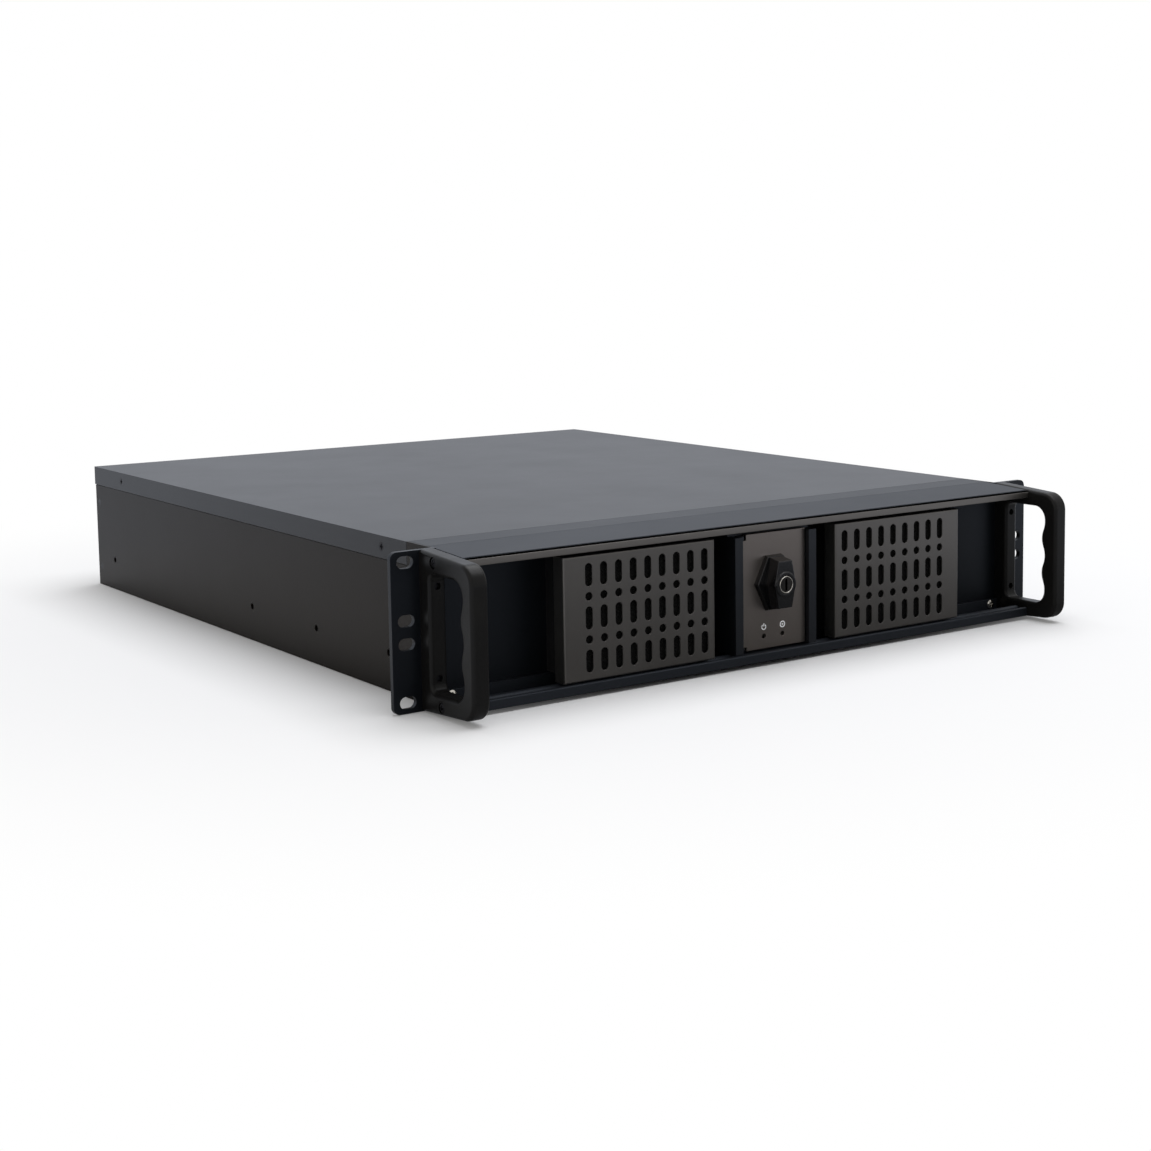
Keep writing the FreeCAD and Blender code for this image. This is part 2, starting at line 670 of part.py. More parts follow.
def side_screw_places():
    return [(RAIL_PORT_TOP, PANEL_HEIGHT - RAIL_PORT_DEPTH), (RAIL_PORT_BOTTOM, RAIL_PORT_DEPTH)]


def handle_screws():
    """Screws through the handles' sides into the ends of the rails."""
    screws = []
    x = HANDLE_INNER + HANDLE_THICK - M3_HEAD_HEIGHT
    for port, z in side_screw_places():
        screw = pan_screw(x, -port, z, Vector(-1, 0, 0), 2 * HANDLE_THICK, M3_RADIUS,
                          M3_HEAD, M3_HEAD_HEIGHT)
        screws += [screw, mirror_x(screw)]
    return Part.makeCompound(screws)


def handle_bolts():
    """Flat-headed bolts from behind the front plate into the handles' feet."""
    return Part.makeCompound([flush_screw(x, PANEL_THICK, z, Vector(0, -1, 0),
                                          PANEL_THICK + HANDLE_BASE - 2, M4_RADIUS, M4_HEAD)
                              for x, z in handle_bolt_places()])


def grille_cover():
    """Right grille: a dished sheet with rows of slots and round holes in turn."""
    x0 = GRILLE_INNER_X
    x1 = x0 + GRILLE_WIDTH
    face = -GRILLE_FACE
    rim = face + GRILLE_RIM
    outer = box(x0, x1, face, rim, GRILLE_BOTTOM, GRILLE_TOP)
    front_edges = [edge for edge in outer.Edges if edge.BoundBox.YMax < face + 0.01]
    outer = outer.makeFillet(GRILLE_ROUND, front_edges)
    t = GRILLE_SHEET
    inner = box(x0 + t, x1 - t, face + t, rim + 1, GRILLE_BOTTOM + t, GRILLE_TOP - t)
    cuts = [inner]
    for column in range(PATTERN_COLUMNS):
        x = PATTERN_X + (column - (PATTERN_COLUMNS - 1) / 2) * PATTERN_PITCH_X
        for row in (-2, 0, 2):
            cuts.append(obround(x, MID_Z + row * PATTERN_PITCH_Z, SLOT_WIDTH, SLOT_LENGTH,
                                face - 1, face + t + 1))
        for row in (-1, 1):
            cuts.append(rod_y(x, MID_Z + row * PATTERN_PITCH_Z, face - 1, face + t + 1,
                              SLOT_WIDTH / 2))
    return outer.cut(cuts)


def filter_frame():
    """Duct behind a grille: a wide seat inside the cover's rim and a narrower neck."""
    gap = GRILLE_SHEET + FIT
    x0 = GRILLE_INNER_X + gap
    x1 = GRILLE_INNER_X + GRILLE_WIDTH - gap
    z0 = GRILLE_BOTTOM + gap
    z1 = GRILLE_TOP - gap
    seat_front = -(GRILLE_FACE - GRILLE_SHEET - FIT)
    seat_back = -(GRILLE_FACE - GRILLE_RIM)
    seat = box(x0, x1, seat_front, seat_back, z0, z1)
    neck = box(GRILLE_INNER_X + NECK_INSET_X, GRILLE_INNER_X + GRILLE_WIDTH - NECK_INSET_X,
               seat_back, 0, GRILLE_BOTTOM + NECK_INSET_Z, GRILLE_TOP - NECK_INSET_Z)
    inset = NECK_INSET_X + NECK_WALL
    duct = box(GRILLE_INNER_X + inset, GRILLE_INNER_X + GRILLE_WIDTH - inset,
               seat_front - 1, 1, GRILLE_BOTTOM + NECK_INSET_Z + NECK_WALL,
               GRILLE_TOP - NECK_INSET_Z - NECK_WALL)
    return seat.fuse(neck).cut([duct, filter_pocket()])


def filter_pocket():
    wall = GRILLE_SHEET + FIT + NECK_WALL / 2
    front = -(GRILLE_FACE - GRILLE_SHEET - FIT)
    return box(GRILLE_INNER_X + wall, GRILLE_INNER_X + GRILLE_WIDTH - wall, front - 1,
               front + MAT_THICK, GRILLE_BOTTOM + wall, GRILLE_TOP - wall)


def filter_mat():
    wall = GRILLE_SHEET + 2 * FIT + NECK_WALL / 2
    front = -(GRILLE_FACE - GRILLE_SHEET - FIT)
    return box(GRILLE_INNER_X + wall, GRILLE_INNER_X + GRILLE_WIDTH - wall, front,
               front + MAT_THICK - FIT, GRILLE_BOTTOM + wall, GRILLE_TOP - wall)


# ---------------------------------------------------------------- centre housing and door
def hinge_lug(z0, z1):
    """Lug for a hinge pin, rounded about the pin so that the door's edge turns past it."""
    round_end = rod_z(DOOR_PIVOT_X, -DOOR_PIVOT_Y, z0, z1, DOOR_THICK / 2)
    root = box(-JAMB_INNER, DOOR_PIVOT_X, -DOOR_FACE, -HOUSING_BACK, z0, z1)
    heel = box(DOOR_PIVOT_X, DOOR_PIVOT_X + DOOR_THICK / 2, -DOOR_PIVOT_Y, -HOUSING_BACK, z0, z1)
    return round_end.multiFuse([root, heel]).removeSplitter()


def centre_housing():
    """Housing on the front plate: walls, two proud jamb strips and the hinge lugs."""
    z0 = GRILLE_BOTTOM
    z1 = GRILLE_TOP
    block = box(-HOUSING_HALF, HOUSING_HALF, -HOUSING_BACK, 0, z0, z1)
    cavity = box(-CAVITY_HALF, CAVITY_HALF, -HOUSING_BACK - 1, 1, z0 + CAVITY_WALL,
                 z1 - CAVITY_WALL)
    sweep = math.sqrt(CAM_LENGTH ** 2 - CAVITY_HALF ** 2)
    pocket = box(0, CAM_LENGTH + 2 * FIT, CAM_FRONT - FIT, CAM_FRONT + CAM_THICK + FIT,
                 LOCK_Z - CAM_HALF - 2 * FIT, LOCK_Z + sweep + 2 * FIT)
    housing = block.cut([cavity, pocket])
    jambs = []
    for side in (-1, 1):
        a, b = sorted((side * JAMB_INNER, side * HOUSING_HALF))
        jambs.append(box(a, b, -GRILLE_FACE, -HOUSING_BACK, z0, JAMB_TOP))
    lugs = [hinge_lug(z0, z0 + LUG_HEIGHT), hinge_lug(JAMB_TOP - LUG_HEIGHT, JAMB_TOP)]
    housing = housing.multiFuse(jambs + lugs).removeSplitter()
    flange = RAIL_FLANGE + FIT
    rebate = -RAIL_WALL - FIT
    holes = [box(-HOUSING_HALF - 1, HOUSING_HALF + 1, rebate, 1, 0, flange),
             box(-HOUSING_HALF - 1, HOUSING_HALF + 1, rebate, 1, PANEL_HEIGHT - flange,
                 PANEL_HEIGHT),
             rod_z(DOOR_PIVOT_X, -DOOR_PIVOT_Y, z0 - 1, z0 + LUG_HEIGHT + 1, DOOR_PIN_RADIUS),
             rod_z(DOOR_PIVOT_X, -DOOR_PIVOT_Y, JAMB_TOP - LUG_HEIGHT - 1, JAMB_TOP + 1,
                   DOOR_PIN_RADIUS)]
    return housing.cut(holes)


def door_pins():
    """Two short pins, pressed into the lugs, that the door swings on."""
    low = rod_z(DOOR_PIVOT_X, -DOOR_PIVOT_Y, GRILLE_BOTTOM,
                GRILLE_BOTTOM + DOOR_PIN_LENGTH, DOOR_PIN_RADIUS)
    high = rod_z(DOOR_PIVOT_X, -DOOR_PIVOT_Y, JAMB_TOP - DOOR_PIN_LENGTH, JAMB_TOP,
                 DOOR_PIN_RADIUS)
    return Part.makeCompound([low, high])


def centre_door():
    """Recessed door with a round hinge edge, the lock's hole and two lamp holes."""
    z0 = GRILLE_BOTTOM + DOOR_GAP
    z1 = GRILLE_TOP - DOOR_GAP
    leaf = box(DOOR_PIVOT_X, DOOR_HALF, -DOOR_FACE, -DOOR_BACK, z0, z1)
    barrel = rod_z(DOOR_PIVOT_X, -DOOR_PIVOT_Y, z0, z1, DOOR_THICK / 2)
    door = leaf.fuse(barrel).removeSplitter()
    reach = DOOR_PIVOT_X + DOOR_THICK / 2 + DOOR_GAP
    low_top = GRILLE_BOTTOM + LUG_HEIGHT + FIT
    high_bottom = JAMB_TOP - LUG_HEIGHT - FIT
    cuts = [box(-JAMB_INNER, reach, -DOOR_FACE - 1, -DOOR_BACK + 1, z0 - 1, low_top),
            box(-JAMB_INNER, reach, -DOOR_FACE - 1, -DOOR_BACK + 1, high_bottom, z1 + 1),
            rod_z(DOOR_PIVOT_X, -DOOR_PIVOT_Y, z0, GRILLE_BOTTOM + DOOR_PIN_LENGTH + FIT,
                  DOOR_PIN_RADIUS + RUN),
            rod_z(DOOR_PIVOT_X, -DOOR_PIVOT_Y, JAMB_TOP - DOOR_PIN_LENGTH - FIT, z1,
                  DOOR_PIN_RADIUS + RUN),
            rod_y(0, LOCK_Z, -DOOR_FACE - 1, -DOOR_BACK + 1, LOCK_SPINDLE + 1)]
    for side in (-1, 1):
        cuts.append(rod_y(side * LAMP_X, LAMP_Z, -DOOR_FACE - 1, -DOOR_BACK + 1,
                          LAMP_RADIUS))
    return door.cut(cuts)


# ---------------------------------------------------------------- lock
def long_hexagon(half_height, half_width, flat, y):
    """Upright six-sided outline around the lock's axis, in the plane at y."""
    corners = [(-flat, half_height), (flat, half_height), (half_width, 0),
               (flat, -half_height), (-flat, -half_height), (-half_width, 0)]
    points = [Vector(x, y, LOCK_Z + z) for x, z in corners]
    return Part.makePolygon(points + points[:1])


def lock_rosette():
    """Fixed base of the lock with a threaded neck through the door."""
    base = Part.makeLoft([long_hexagon(ROSETTE_HALF_HEIGHT, ROSETTE_HALF_WIDTH, ROSETTE_FLAT,
                                       -DOOR_FACE),
                          long_hexagon(ROSETTE_HALF_HEIGHT - KNOB_TAPER,
                                       ROSETTE_HALF_WIDTH - KNOB_TAPER,
                                       ROSETTE_FLAT, -DOOR_FACE - ROSETTE_THICK)], True, True)
    neck = rod_y(0, LOCK_Z, -DOOR_FACE, -DOOR_BACK + LOCK_NUT_THICK, LOCK_SPINDLE + 1 - FIT / 3)
    bore = rod_y(0, LOCK_Z, -DOOR_FACE - ROSETTE_THICK - 1, 0, LOCK_SPINDLE - 1 + RUN)
    return base.fuse(neck).cut(bore)


def lock_nut():
    """Thin hexagon nut that clamps the rosette from behind the door."""
    points = []
    for i in range(6):
        angle = math.radians(60 * i)
        points.append((LOCK_NUT_RADIUS * math.cos(angle),
                       LOCK_Z + LOCK_NUT_RADIUS * math.sin(angle)))
    nut = prism_xz(points, -DOOR_BACK, -DOOR_BACK + LOCK_NUT_THICK)
    return nut.cut(rod_y(0, LOCK_Z, -DOOR_BACK - 1, 0, LOCK_SPINDLE + 1))


def lock_knob():
    """Winged knob with a round collar for the key cylinder and a spindle to the cam."""
    back = -DOOR_FACE - ROSETTE_THICK - RUN
    front = back - KNOB_LENGTH
    wing = Part.makeLoft([long_hexagon(KNOB_HALF_HEIGHT, KNOB_HALF_WIDTH, KNOB_FLAT, back),
                          long_hexagon(KNOB_HALF_HEIGHT - 2 * KNOB_TAPER,
                                       KNOB_HALF_WIDTH - 2 * KNOB_TAPER, KNOB_FLAT, front)],
                         True, True)
    collar = rod_y(0, LOCK_Z, front - KNOB_TAPER, back, KNOB_COLLAR)
    spindle = rod_y(0, LOCK_Z, back, CAM_FRONT + CAM_THICK, LOCK_SPINDLE - 1)
    bore = rod_y(0, LOCK_Z, front - KNOB_TAPER - 1, front - KNOB_TAPER + PLUG_LENGTH,
                 PLUG_RADIUS + RUN)
    return wing.multiFuse([collar, spindle]).removeSplitter().cut(bore)


def key_cylinder():
    front = -DOOR_FACE - ROSETTE_THICK - RUN - KNOB_LENGTH - KNOB_TAPER
    plug = rod_y(0, LOCK_Z, front, front + PLUG_LENGTH - FIT, PLUG_RADIUS)
    keyway = box(-KEYWAY_WIDTH / 2, KEYWAY_WIDTH / 2, front - 1, front + KEYWAY_DEPTH,
                 LOCK_Z - KEYWAY_HEIGHT / 2, LOCK_Z + KEYWAY_HEIGHT / 2)
    return plug.cut(keyway)


def lock_cam():
    """Flat cam on the spindle: upright it is clear, a quarter turn puts it in the pocket."""
    y0 = CAM_FRONT
    arm = box(-CAM_HALF, CAM_HALF, y0, y0 + CAM_THICK, LOCK_Z, LOCK_Z + CAM_LENGTH - CAM_HALF)
    tip = rod_y(0, LOCK_Z + CAM_LENGTH - CAM_HALF, y0, y0 + CAM_THICK, CAM_HALF)
    hub = rod_y(0, LOCK_Z, y0, y0 + CAM_THICK, LOCK_SPINDLE + 1)
    cam = arm.multiFuse([tip, hub]).removeSplitter()
    return cam.cut(rod_y(0, LOCK_Z, y0 - 1, y0 + CAM_THICK + 1, LOCK_SPINDLE - 1))


# ---------------------------------------------------------------- control unit
def bracket_span():
    return (CAVITY_HALF - FIT, GRILLE_BOTTOM + CAVITY_WALL + FIT, GRILLE_TOP - CAVITY_WALL - FIT)


def control_bracket():
    """Plate across the cavity that guides the buttons and frames the sockets."""
    half, z0, z1 = bracket_span()
    y0 = -BRACKET_SETBACK
    plate = box(-half, half, y0, y0 + BRACKET_THICK, z0, z1)
    cuts = [rod_y(POWER_X, BUTTON_Z, y0 - 1, y0 + BRACKET_THICK + 1, POWER_RADIUS + FIT),
            rod_y(RESET_X, BUTTON_Z, y0 - 1, y0 + BRACKET_THICK + 1, RESET_RADIUS + FIT)]
    for side in (-1, 1):
        cuts.append(box(side * USB_X - USB_WIDTH / 2 - FIT, side * USB_X + USB_WIDTH / 2 + FIT,
                        y0 - 1, y0 + BRACKET_THICK + 1, USB_Z - USB_HEIGHT / 2 - FIT,
                        USB_Z + USB_HEIGHT / 2 + FIT))
        cuts.append(rod_y(side * LAMP_X, LAMP_Z, y0 - 1, y0 + BRACKET_THICK + 1,
                          LAMP_RADIUS + FIT))
    return plate.cut(cuts)


def board_front():
    return -BRACKET_SETBACK + BRACKET_THICK + BOARD_GAP


def control_board():
    """Small circuit board behind the bracket, carried on four short posts."""
    half, z0, z1 = bracket_span()
    y0 = board_front()
    board = box(-half, half, y0, y0 + BOARD_THICK, z0, z1)
    posts = []
    for side in (-1, 1):
        for z in (z0 + LUG_HEIGHT, z1 - LUG_HEIGHT):
            posts.append(rod_y(side * (half - LUG_HEIGHT), z, y0 - BOARD_GAP, y0,
                               LUG_HEIGHT / 2))
    notches = []
    for side in (-1, 1):
        notches.append(box(side * USB_X - USB_WIDTH / 2 - FIT,
                           side * USB_X + USB_WIDTH / 2 + FIT, y0 - 1, y0 + BOARD_THICK + 1,
                           USB_Z - USB_HEIGHT / 2 - FIT, USB_Z + USB_HEIGHT / 2 + FIT))
    return board.multiFuse(posts).cut(notches)


def push_button(x, radius):
    """Round cap with a flange behind the bracket and a stem that stops short of the board."""
    y0 = -BRACKET_SETBACK - BUTTON_PROUD
    back = -BRACKET_SETBACK + BRACKET_THICK + FIT
    cap = rod_y(x, BUTTON_Z, y0, back, radius)
    rim = [edge for edge in cap.Edges if edge.BoundBox.YMax < y0 + 0.01]
    cap = cap.makeFillet(radius / 8, rim)
    flange = rod_y(x, BUTTON_Z, back, back + BUTTON_FLANGE, radius + BUTTON_FLANGE)
    stem = rod_y(x, BUTTON_Z, back, board_front() - BUTTON_TRAVEL - FIT / 3, radius / 2)
    return cap.multiFuse([flange, stem]).removeSplitter()


def usb_sockets():
    sockets = []
    y0 = -BRACKET_SETBACK - USB_PROUD
    for side in (-1, 1):
        x = side * USB_X
        shell = box(x - USB_WIDTH / 2, x + USB_WIDTH / 2, y0, y0 + USB_DEPTH,
                    USB_Z - USB_HEIGHT / 2, USB_Z + USB_HEIGHT / 2)
        hollow = box(x - USB_WIDTH / 2 + USB_WALL, x + USB_WIDTH / 2 - USB_WALL, y0 - 1,
                     y0 + USB_DEPTH - 2 * USB_WALL, USB_Z - USB_HEIGHT / 2 + USB_WALL,
                     USB_Z + USB_HEIGHT / 2 - USB_WALL)
        tongue = box(x - USB_WIDTH / 2 + 3 * USB_WALL, x + USB_WIDTH / 2 - 3 * USB_WALL,
                     y0 + USB_WALL, y0 + USB_DEPTH - USB_WALL, USB_Z, USB_Z + 3 * USB_WALL)
        sockets.append(shell.cut(hollow).fuse(tongue))
    return Part.makeCompound(sockets)


def indicator_lamp(side):
    """Lamp on the board with a clear rod that ends just behind the hole in the door."""
    front = -DOOR_BACK + 2 * FIT
    return rod_y(side * LAMP_X, LAMP_Z, front, board_front(), LAMP_RADIUS)


# ---------------------------------------------------------------- fans
def fan_frame():
    """Right fan frame: a ring between two flanges, with a motor base on four struts."""
    x = FAN_X
    y0 = FAN_FRONT
    y1 = y0 + FAN_DEPTH
    half = FAN_SIZE / 2
    flanges = []
    for a, b in ((y0, y0 + FAN_FLANGE), (y1 - FAN_FLANGE, y1)):
        plate = box(x - half, x + half, a, b, MID_Z - half, MID_Z + half)
        corners = edges_along(plate, Vector(0, 1, 0), lambda p: True)
        flanges.append(plate.makeFillet(FAN_FLANGE, corners))
    ring = rod_y(x, MID_Z, y0, y1, half)
    frame = ring.multiFuse(flanges)
    cuts = [rod_y(x, MID_Z, y0 - 1, y1 + 1, FAN_BORE)]
    for px, pz in fan_screw_places(1):
        cuts.append(rod_y(px, pz, y0 - 1, y1 + 1, FAN_HOLE_RADIUS))
    frame = frame.cut(cuts)
    base = rod_y(x, MID_Z, y1 - FAN_BASE_THICK, y1, FAN_HUB)
    struts = []
    for i in range(4):
        strut = box(x + FAN_HUB - 1, x + FAN_BORE + 1, y1 - FAN_BASE_THICK, y1,
                    MID_Z - FAN_STRUT / 2, MID_Z + FAN_STRUT / 2)
        strut.rotate(Vector(x, 0, MID_Z), Vector(0, 1, 0), 45 + 90 * i)
        struts.append(strut)
    frame = frame.multiFuse([base] + struts).removeSplitter()
    return frame.cut(rod_y(x, MID_Z, y1 - FAN_BASE_THICK - 1, y1 + 1, FAN_SHAFT + RUN))


def fan_rotor():
    """Right fan rotor: a round hub with pitched blades and its shaft."""
    x = FAN_X
    back = FAN_FRONT + FAN_DEPTH - FAN_BASE_THICK - FIT
    front = FAN_FRONT + FAN_FLANGE
    hub = rod_y(x, MID_Z, front, back, FAN_HUB)
    nose = [edge for edge in hub.Edges if edge.BoundBox.YMax < front + 0.01]
    hub = hub.makeFillet(FAN_STRUT / 2, nose)
    shaft = rod_y(x, MID_Z, back, FAN_FRONT + FAN_DEPTH, FAN_SHAFT)
    reach = FAN_BORE - FAN_TIP_GAP
    limit = rod_y(x, MID_Z, front, back, reach)
    blades = []
    middle = (front + back) / 2
    chord = FAN_BLADE_DEPTH / math.sin(math.radians(FAN_BLADE_PITCH))
    for i in range(FAN_BLADES):
        blade = Part.makeBox(chord, FAN_BLADE_THICK, reach - FAN_HUB + FAN_BLADE_ROOT,
                             Vector(x - chord / 2, middle, MID_Z + FAN_HUB - FAN_BLADE_ROOT))
        blade.rotate(Vector(x, middle, MID_Z), Vector(0, 0, 1), FAN_BLADE_PITCH)
        blade.rotate(Vector(x, 0, MID_Z), Vector(0, 1, 0), 360 * i / FAN_BLADES)
        blades.append(blade.common(limit))
    return hub.multiFuse(blades + [shaft]).removeSplitter()


def fan_screws():
    screws = []
    for side in (-1, 1):
        for x, z in fan_screw_places(side):
            screws.append(pan_screw(x, FAN_FRONT + FAN_DEPTH, z, Vector(0, -1, 0),
                                    FAN_DEPTH + SHEET, M3_RADIUS, FAN_SCREW_HEAD,
                                    FAN_SCREW_HEAD_HEIGHT))
    return Part.makeCompound(screws)


# ---------------------------------------------------------------- inside the case
def drive_cage():
    """Right cage for 3.5 inch drives: two walls, a top and two feet folded from one sheet."""
    half = CAGE_INNER / 2
    outer = half + SHEET
    foot = outer + CAGE_FOOT
    x = FAN_X
    section = [(half, SHEET), (foot, SHEET), (foot, 2 * SHEET), (outer, 2 * SHEET),
               (outer, CAGE_TOP), (-outer, CAGE_TOP), (-outer, 2 * SHEET), (-foot, 2 * SHEET),
               (-foot, SHEET), (-half, SHEET), (-half, CAGE_TOP - SHEET), (half, CAGE_TOP - SHEET)]
    y0 = CAGE_FRONT
    y1 = y0 + CAGE_DEPTH
    cage = prism_xz([(x + a, z) for a, z in section], y0, y1)
    cuts = [box(x - half + CAGE_FOOT, x + half - CAGE_FOOT, y0 + CAGE_WINDOW_INSET,
                y1 - CAGE_WINDOW_INSET, CAGE_TOP - SHEET - 1, CAGE_TOP + 1)]
    for row in range(DRIVE_COUNT):
        for hole in DRIVE_HOLES:
            cuts.append(rod_x(y0 + hole, DRIVE_FIRST + row * DRIVE_PITCH + CAGE_FOOT,
                              x - outer - 1, x + outer + 1, M3_RADIUS + RUN))
    return cage.cut(cuts)


def standoff_places():
    x0 = BOARD_LEFT + BOARD_WIDTH - BOARD_HOLE_EDGE
    columns = (x0, x0 - BOARD_COLUMN_A, x0 - BOARD_COLUMN_A - BOARD_COLUMN_B)
    y0 = BODY_REAR - SHEET - BOARD_ROW_REAR
    rows = (y0, y0 - BOARD_ROW_A, y0 - BOARD_ROW_A - BOARD_ROW_B)
    return [(x, y) for x in columns for y in rows]


def standoffs():
    """Hexagonal threaded spacers for the mainboard."""
    posts = []
    for x, y in standoff_places():
        corners = [(x + STANDOFF_RADIUS * math.cos(math.radians(60 * i)),
                    y + STANDOFF_RADIUS * math.sin(math.radians(60 * i))) for i in range(6)]
        post = prism_xy(corners, SHEET, SHEET + STANDOFF_HEIGHT)
        posts.append(post.cut(rod_z(x, y, SHEET + 1, SHEET + STANDOFF_HEIGHT + 1, M3_RADIUS)))
    return Part.makeCompound(posts)


def cover_bar():
    """Hat-shaped bar across the case, under the cover, that stiffens both."""
    y0 = BAR_Y
    y1 = BAR_Y + BAR_WIDTH
    top = COVER_UNDER - SHEET
    low = top - BAR_DEPTH
    outline = [(y0, low), (y0 + SHEET, low), (y0 + SHEET, top - SHEET),
               (y1 - SHEET, top - SHEET), (y1 - SHEET, low), (y1, low), (y1, top), (y0, top)]
    return prism_yz(outline, -UPPER_INNER, UPPER_INNER)


def slot_centres():
    """Card slots to the left of the connector opening, seen from the front."""
    first = BOARD_LEFT + BOARD_WIDTH - PORT_OFFSET - PORT_WIDTH - SLOT_PITCH * 0.8
    return [first - i * SLOT_PITCH for i in range(SLOT_COUNT)]


def port_left():
    return BOARD_LEFT + BOARD_WIDTH - PORT_OFFSET - PORT_WIDTH


def supply_screws():
    x0 = SUPPLY_CENTRE - SUPPLY_WIDTH / 2 - SUPPLY_SCREW_MARGIN
    x1 = SUPPLY_CENTRE + SUPPLY_WIDTH / 2 + SUPPLY_SCREW_MARGIN
    z0 = SUPPLY_FLOOR + SUPPLY_SCREW_MARGIN
    z1 = SUPPLY_FLOOR + SUPPLY_HEIGHT - SUPPLY_SCREW_MARGIN
    return [(x0, z0), (x0, z1), (x1, z0), (x1, z1)]


def rear_wall():
    """Rear sheet with its side flanges and every opening the case has at the back."""
    y1 = BODY_REAR
    y0 = y1 - SHEET
    half = WALL_INNER
    sheet = box(-half, half, y0, y1, 0, SEAM_Z - FIT)
    upper = box(-UPPER_INNER, UPPER_INNER, y0, y1, SEAM_Z - FIT - 1, COVER_UNDER - SHEET)
    flanges = []
    for side in (-1, 1):
        a, b = sorted((side * half, side * (half - SHEET)))
        flanges.append(box(a, b, y0 - REAR_LIP, y0 + 0.1, SHEET, SEAM_Z - FIT - SHEET - 1))
    base = SHEET + STANDOFF_HEIGHT
    cuts = [box(port_left(), port_left() + PORT_WIDTH, y0 - 1, y1 + 1, base, base + PORT_HEIGHT),
            box(SUPPLY_CENTRE - SUPPLY_WIDTH / 2, SUPPLY_CENTRE + SUPPLY_WIDTH / 2, y0 - 1,
                y1 + 1, SUPPLY_FLOOR, SUPPLY_FLOOR + SUPPLY_HEIGHT)]
    for x in slot_centres():
        cuts.append(box(x - CARD_SLOT_WIDTH / 2, x + CARD_SLOT_WIDTH / 2, y0 - 1, y1 + 1,
                        CARD_SLOT_FOOT, CARD_SLOT_FOOT + CARD_SLOT_HEIGHT))
    for x, z in supply_screws():
        cuts.append(rod_y(x, z, y0 - 1, y1 + 1, M3_RADIUS + RUN))
    vent_z = base + PORT_HEIGHT + VENT_LENGTH
    for i in range(VENT_COUNT):
        x = port_left() + PORT_WIDTH / 2 + (i - (VENT_COUNT - 1) / 2) * VENT_PITCH
        cuts.append(box(x - VENT_WIDTH / 2, x + VENT_WIDTH / 2, y0 - 1, y1 + 1,
                        vent_z - VENT_LENGTH / 2, vent_z + VENT_LENGTH / 2))
    z = PANEL_HEIGHT - COVER_SCREW_DROP
    for x in rear_screw_places():
        cuts.append(rod_y(x, z, y0 - 1, y1 + 1, M3_RADIUS))
    for side in (-1, 1):
        for z in rivet_heights():
            a, b = sorted((side * (half + 1), side * (half - SHEET - 1)))
            cuts.append(rod_x(rivet_y(), z, a, b, M3_RADIUS))
    return sheet.multiFuse([upper] + flanges).removeSplitter().cut(cuts)


def rivet_heights():
    return (SEAM_Z - COVER_FLANGE, COVER_FLANGE + SHEET)


def rivet_y():
    return BODY_REAR - SHEET - REAR_LIP / 2


def rear_rivets():
    """Rivets that join the sides of the body to the rear wall's flanges."""
    rivets = []
    for side in (-1, 1):
        for z in rivet_heights():
            rivets.append(flush_screw(side * CASE_HALF, rivet_y(), z, Vector(-side, 0, 0),
                                      3 * SHEET, M3_RADIUS, RIVET_HEAD))
    return Part.makeCompound(rivets)


def slot_ledge():
    """Shelf inside the rear wall that the card brackets are screwed down on."""
    top = CARD_SLOT_FOOT + CARD_SLOT_HEIGHT
    y1 = BODY_REAR - SHEET
    first = slot_centres()[0] + SLOT_PITCH / 2
    last = slot_centres()[-1] - SLOT_PITCH / 2
    shelf = box(last, first, y1 - BLANK_FOOT - BLANK_THICK, y1 - BLANK_THICK - FIT,
                top - LEDGE_THICK, top)
    holes = [rod_z(x, y1 - BLANK_FOOT / 2 - BLANK_THICK, top - LEDGE_THICK - 1, top + 1, M3_RADIUS)
             for x in slot_centres()]
    tabs = []
    for x in [first] + [x - SLOT_PITCH / 2 for x in slot_centres()]:
        a = min(max(x - LEDGE_THICK / 2, last), first - LEDGE_THICK)
        tabs.append(box(a, a + LEDGE_THICK * 0.8, y1 - BLANK_THICK - FIT - 0.1, y1,
                        top - 3 * LEDGE_THICK, top))
    return shelf.multiFuse(tabs).removeSplitter().cut(holes)


def slot_blanks():
    """Bent low-profile blanks that close the card slots."""
    blanks = []
    y1 = BODY_REAR - SHEET
    top = CARD_SLOT_FOOT + CARD_SLOT_HEIGHT
    for x in slot_centres():
        a = x - CARD_SLOT_WIDTH / 2 - 1
        b = x + CARD_SLOT_WIDTH / 2 + 1
        leaf = box(a, b, y1 - BLANK_THICK, y1, CARD_SLOT_FOOT - 2, top + BLANK_THICK)
        foot = box(a, b, y1 - BLANK_FOOT, y1, top, top + BLANK_THICK)
        hole = rod_z(x, y1 - BLANK_FOOT / 2 - BLANK_THICK, top - 1, top + BLANK_THICK + 1,
                     M3_RADIUS + RUN)
        blanks.append(leaf.fuse(foot).removeSplitter().cut(hole))
    return Part.makeCompound(blanks)


def slot_screws():
    top = CARD_SLOT_FOOT + CARD_SLOT_HEIGHT + BLANK_THICK
    y = BODY_REAR - SHEET - BLANK_FOOT / 2 - BLANK_THICK
    length = BLANK_THICK + SLOT_SCREW_GRIP
    return Part.makeCompound([pan_screw(x, y, top, Vector(0, 0, -1), length, M3_RADIUS,
                                        M3_HEAD, 2 * M3_HEAD_HEIGHT)
                              for x in slot_centres()])


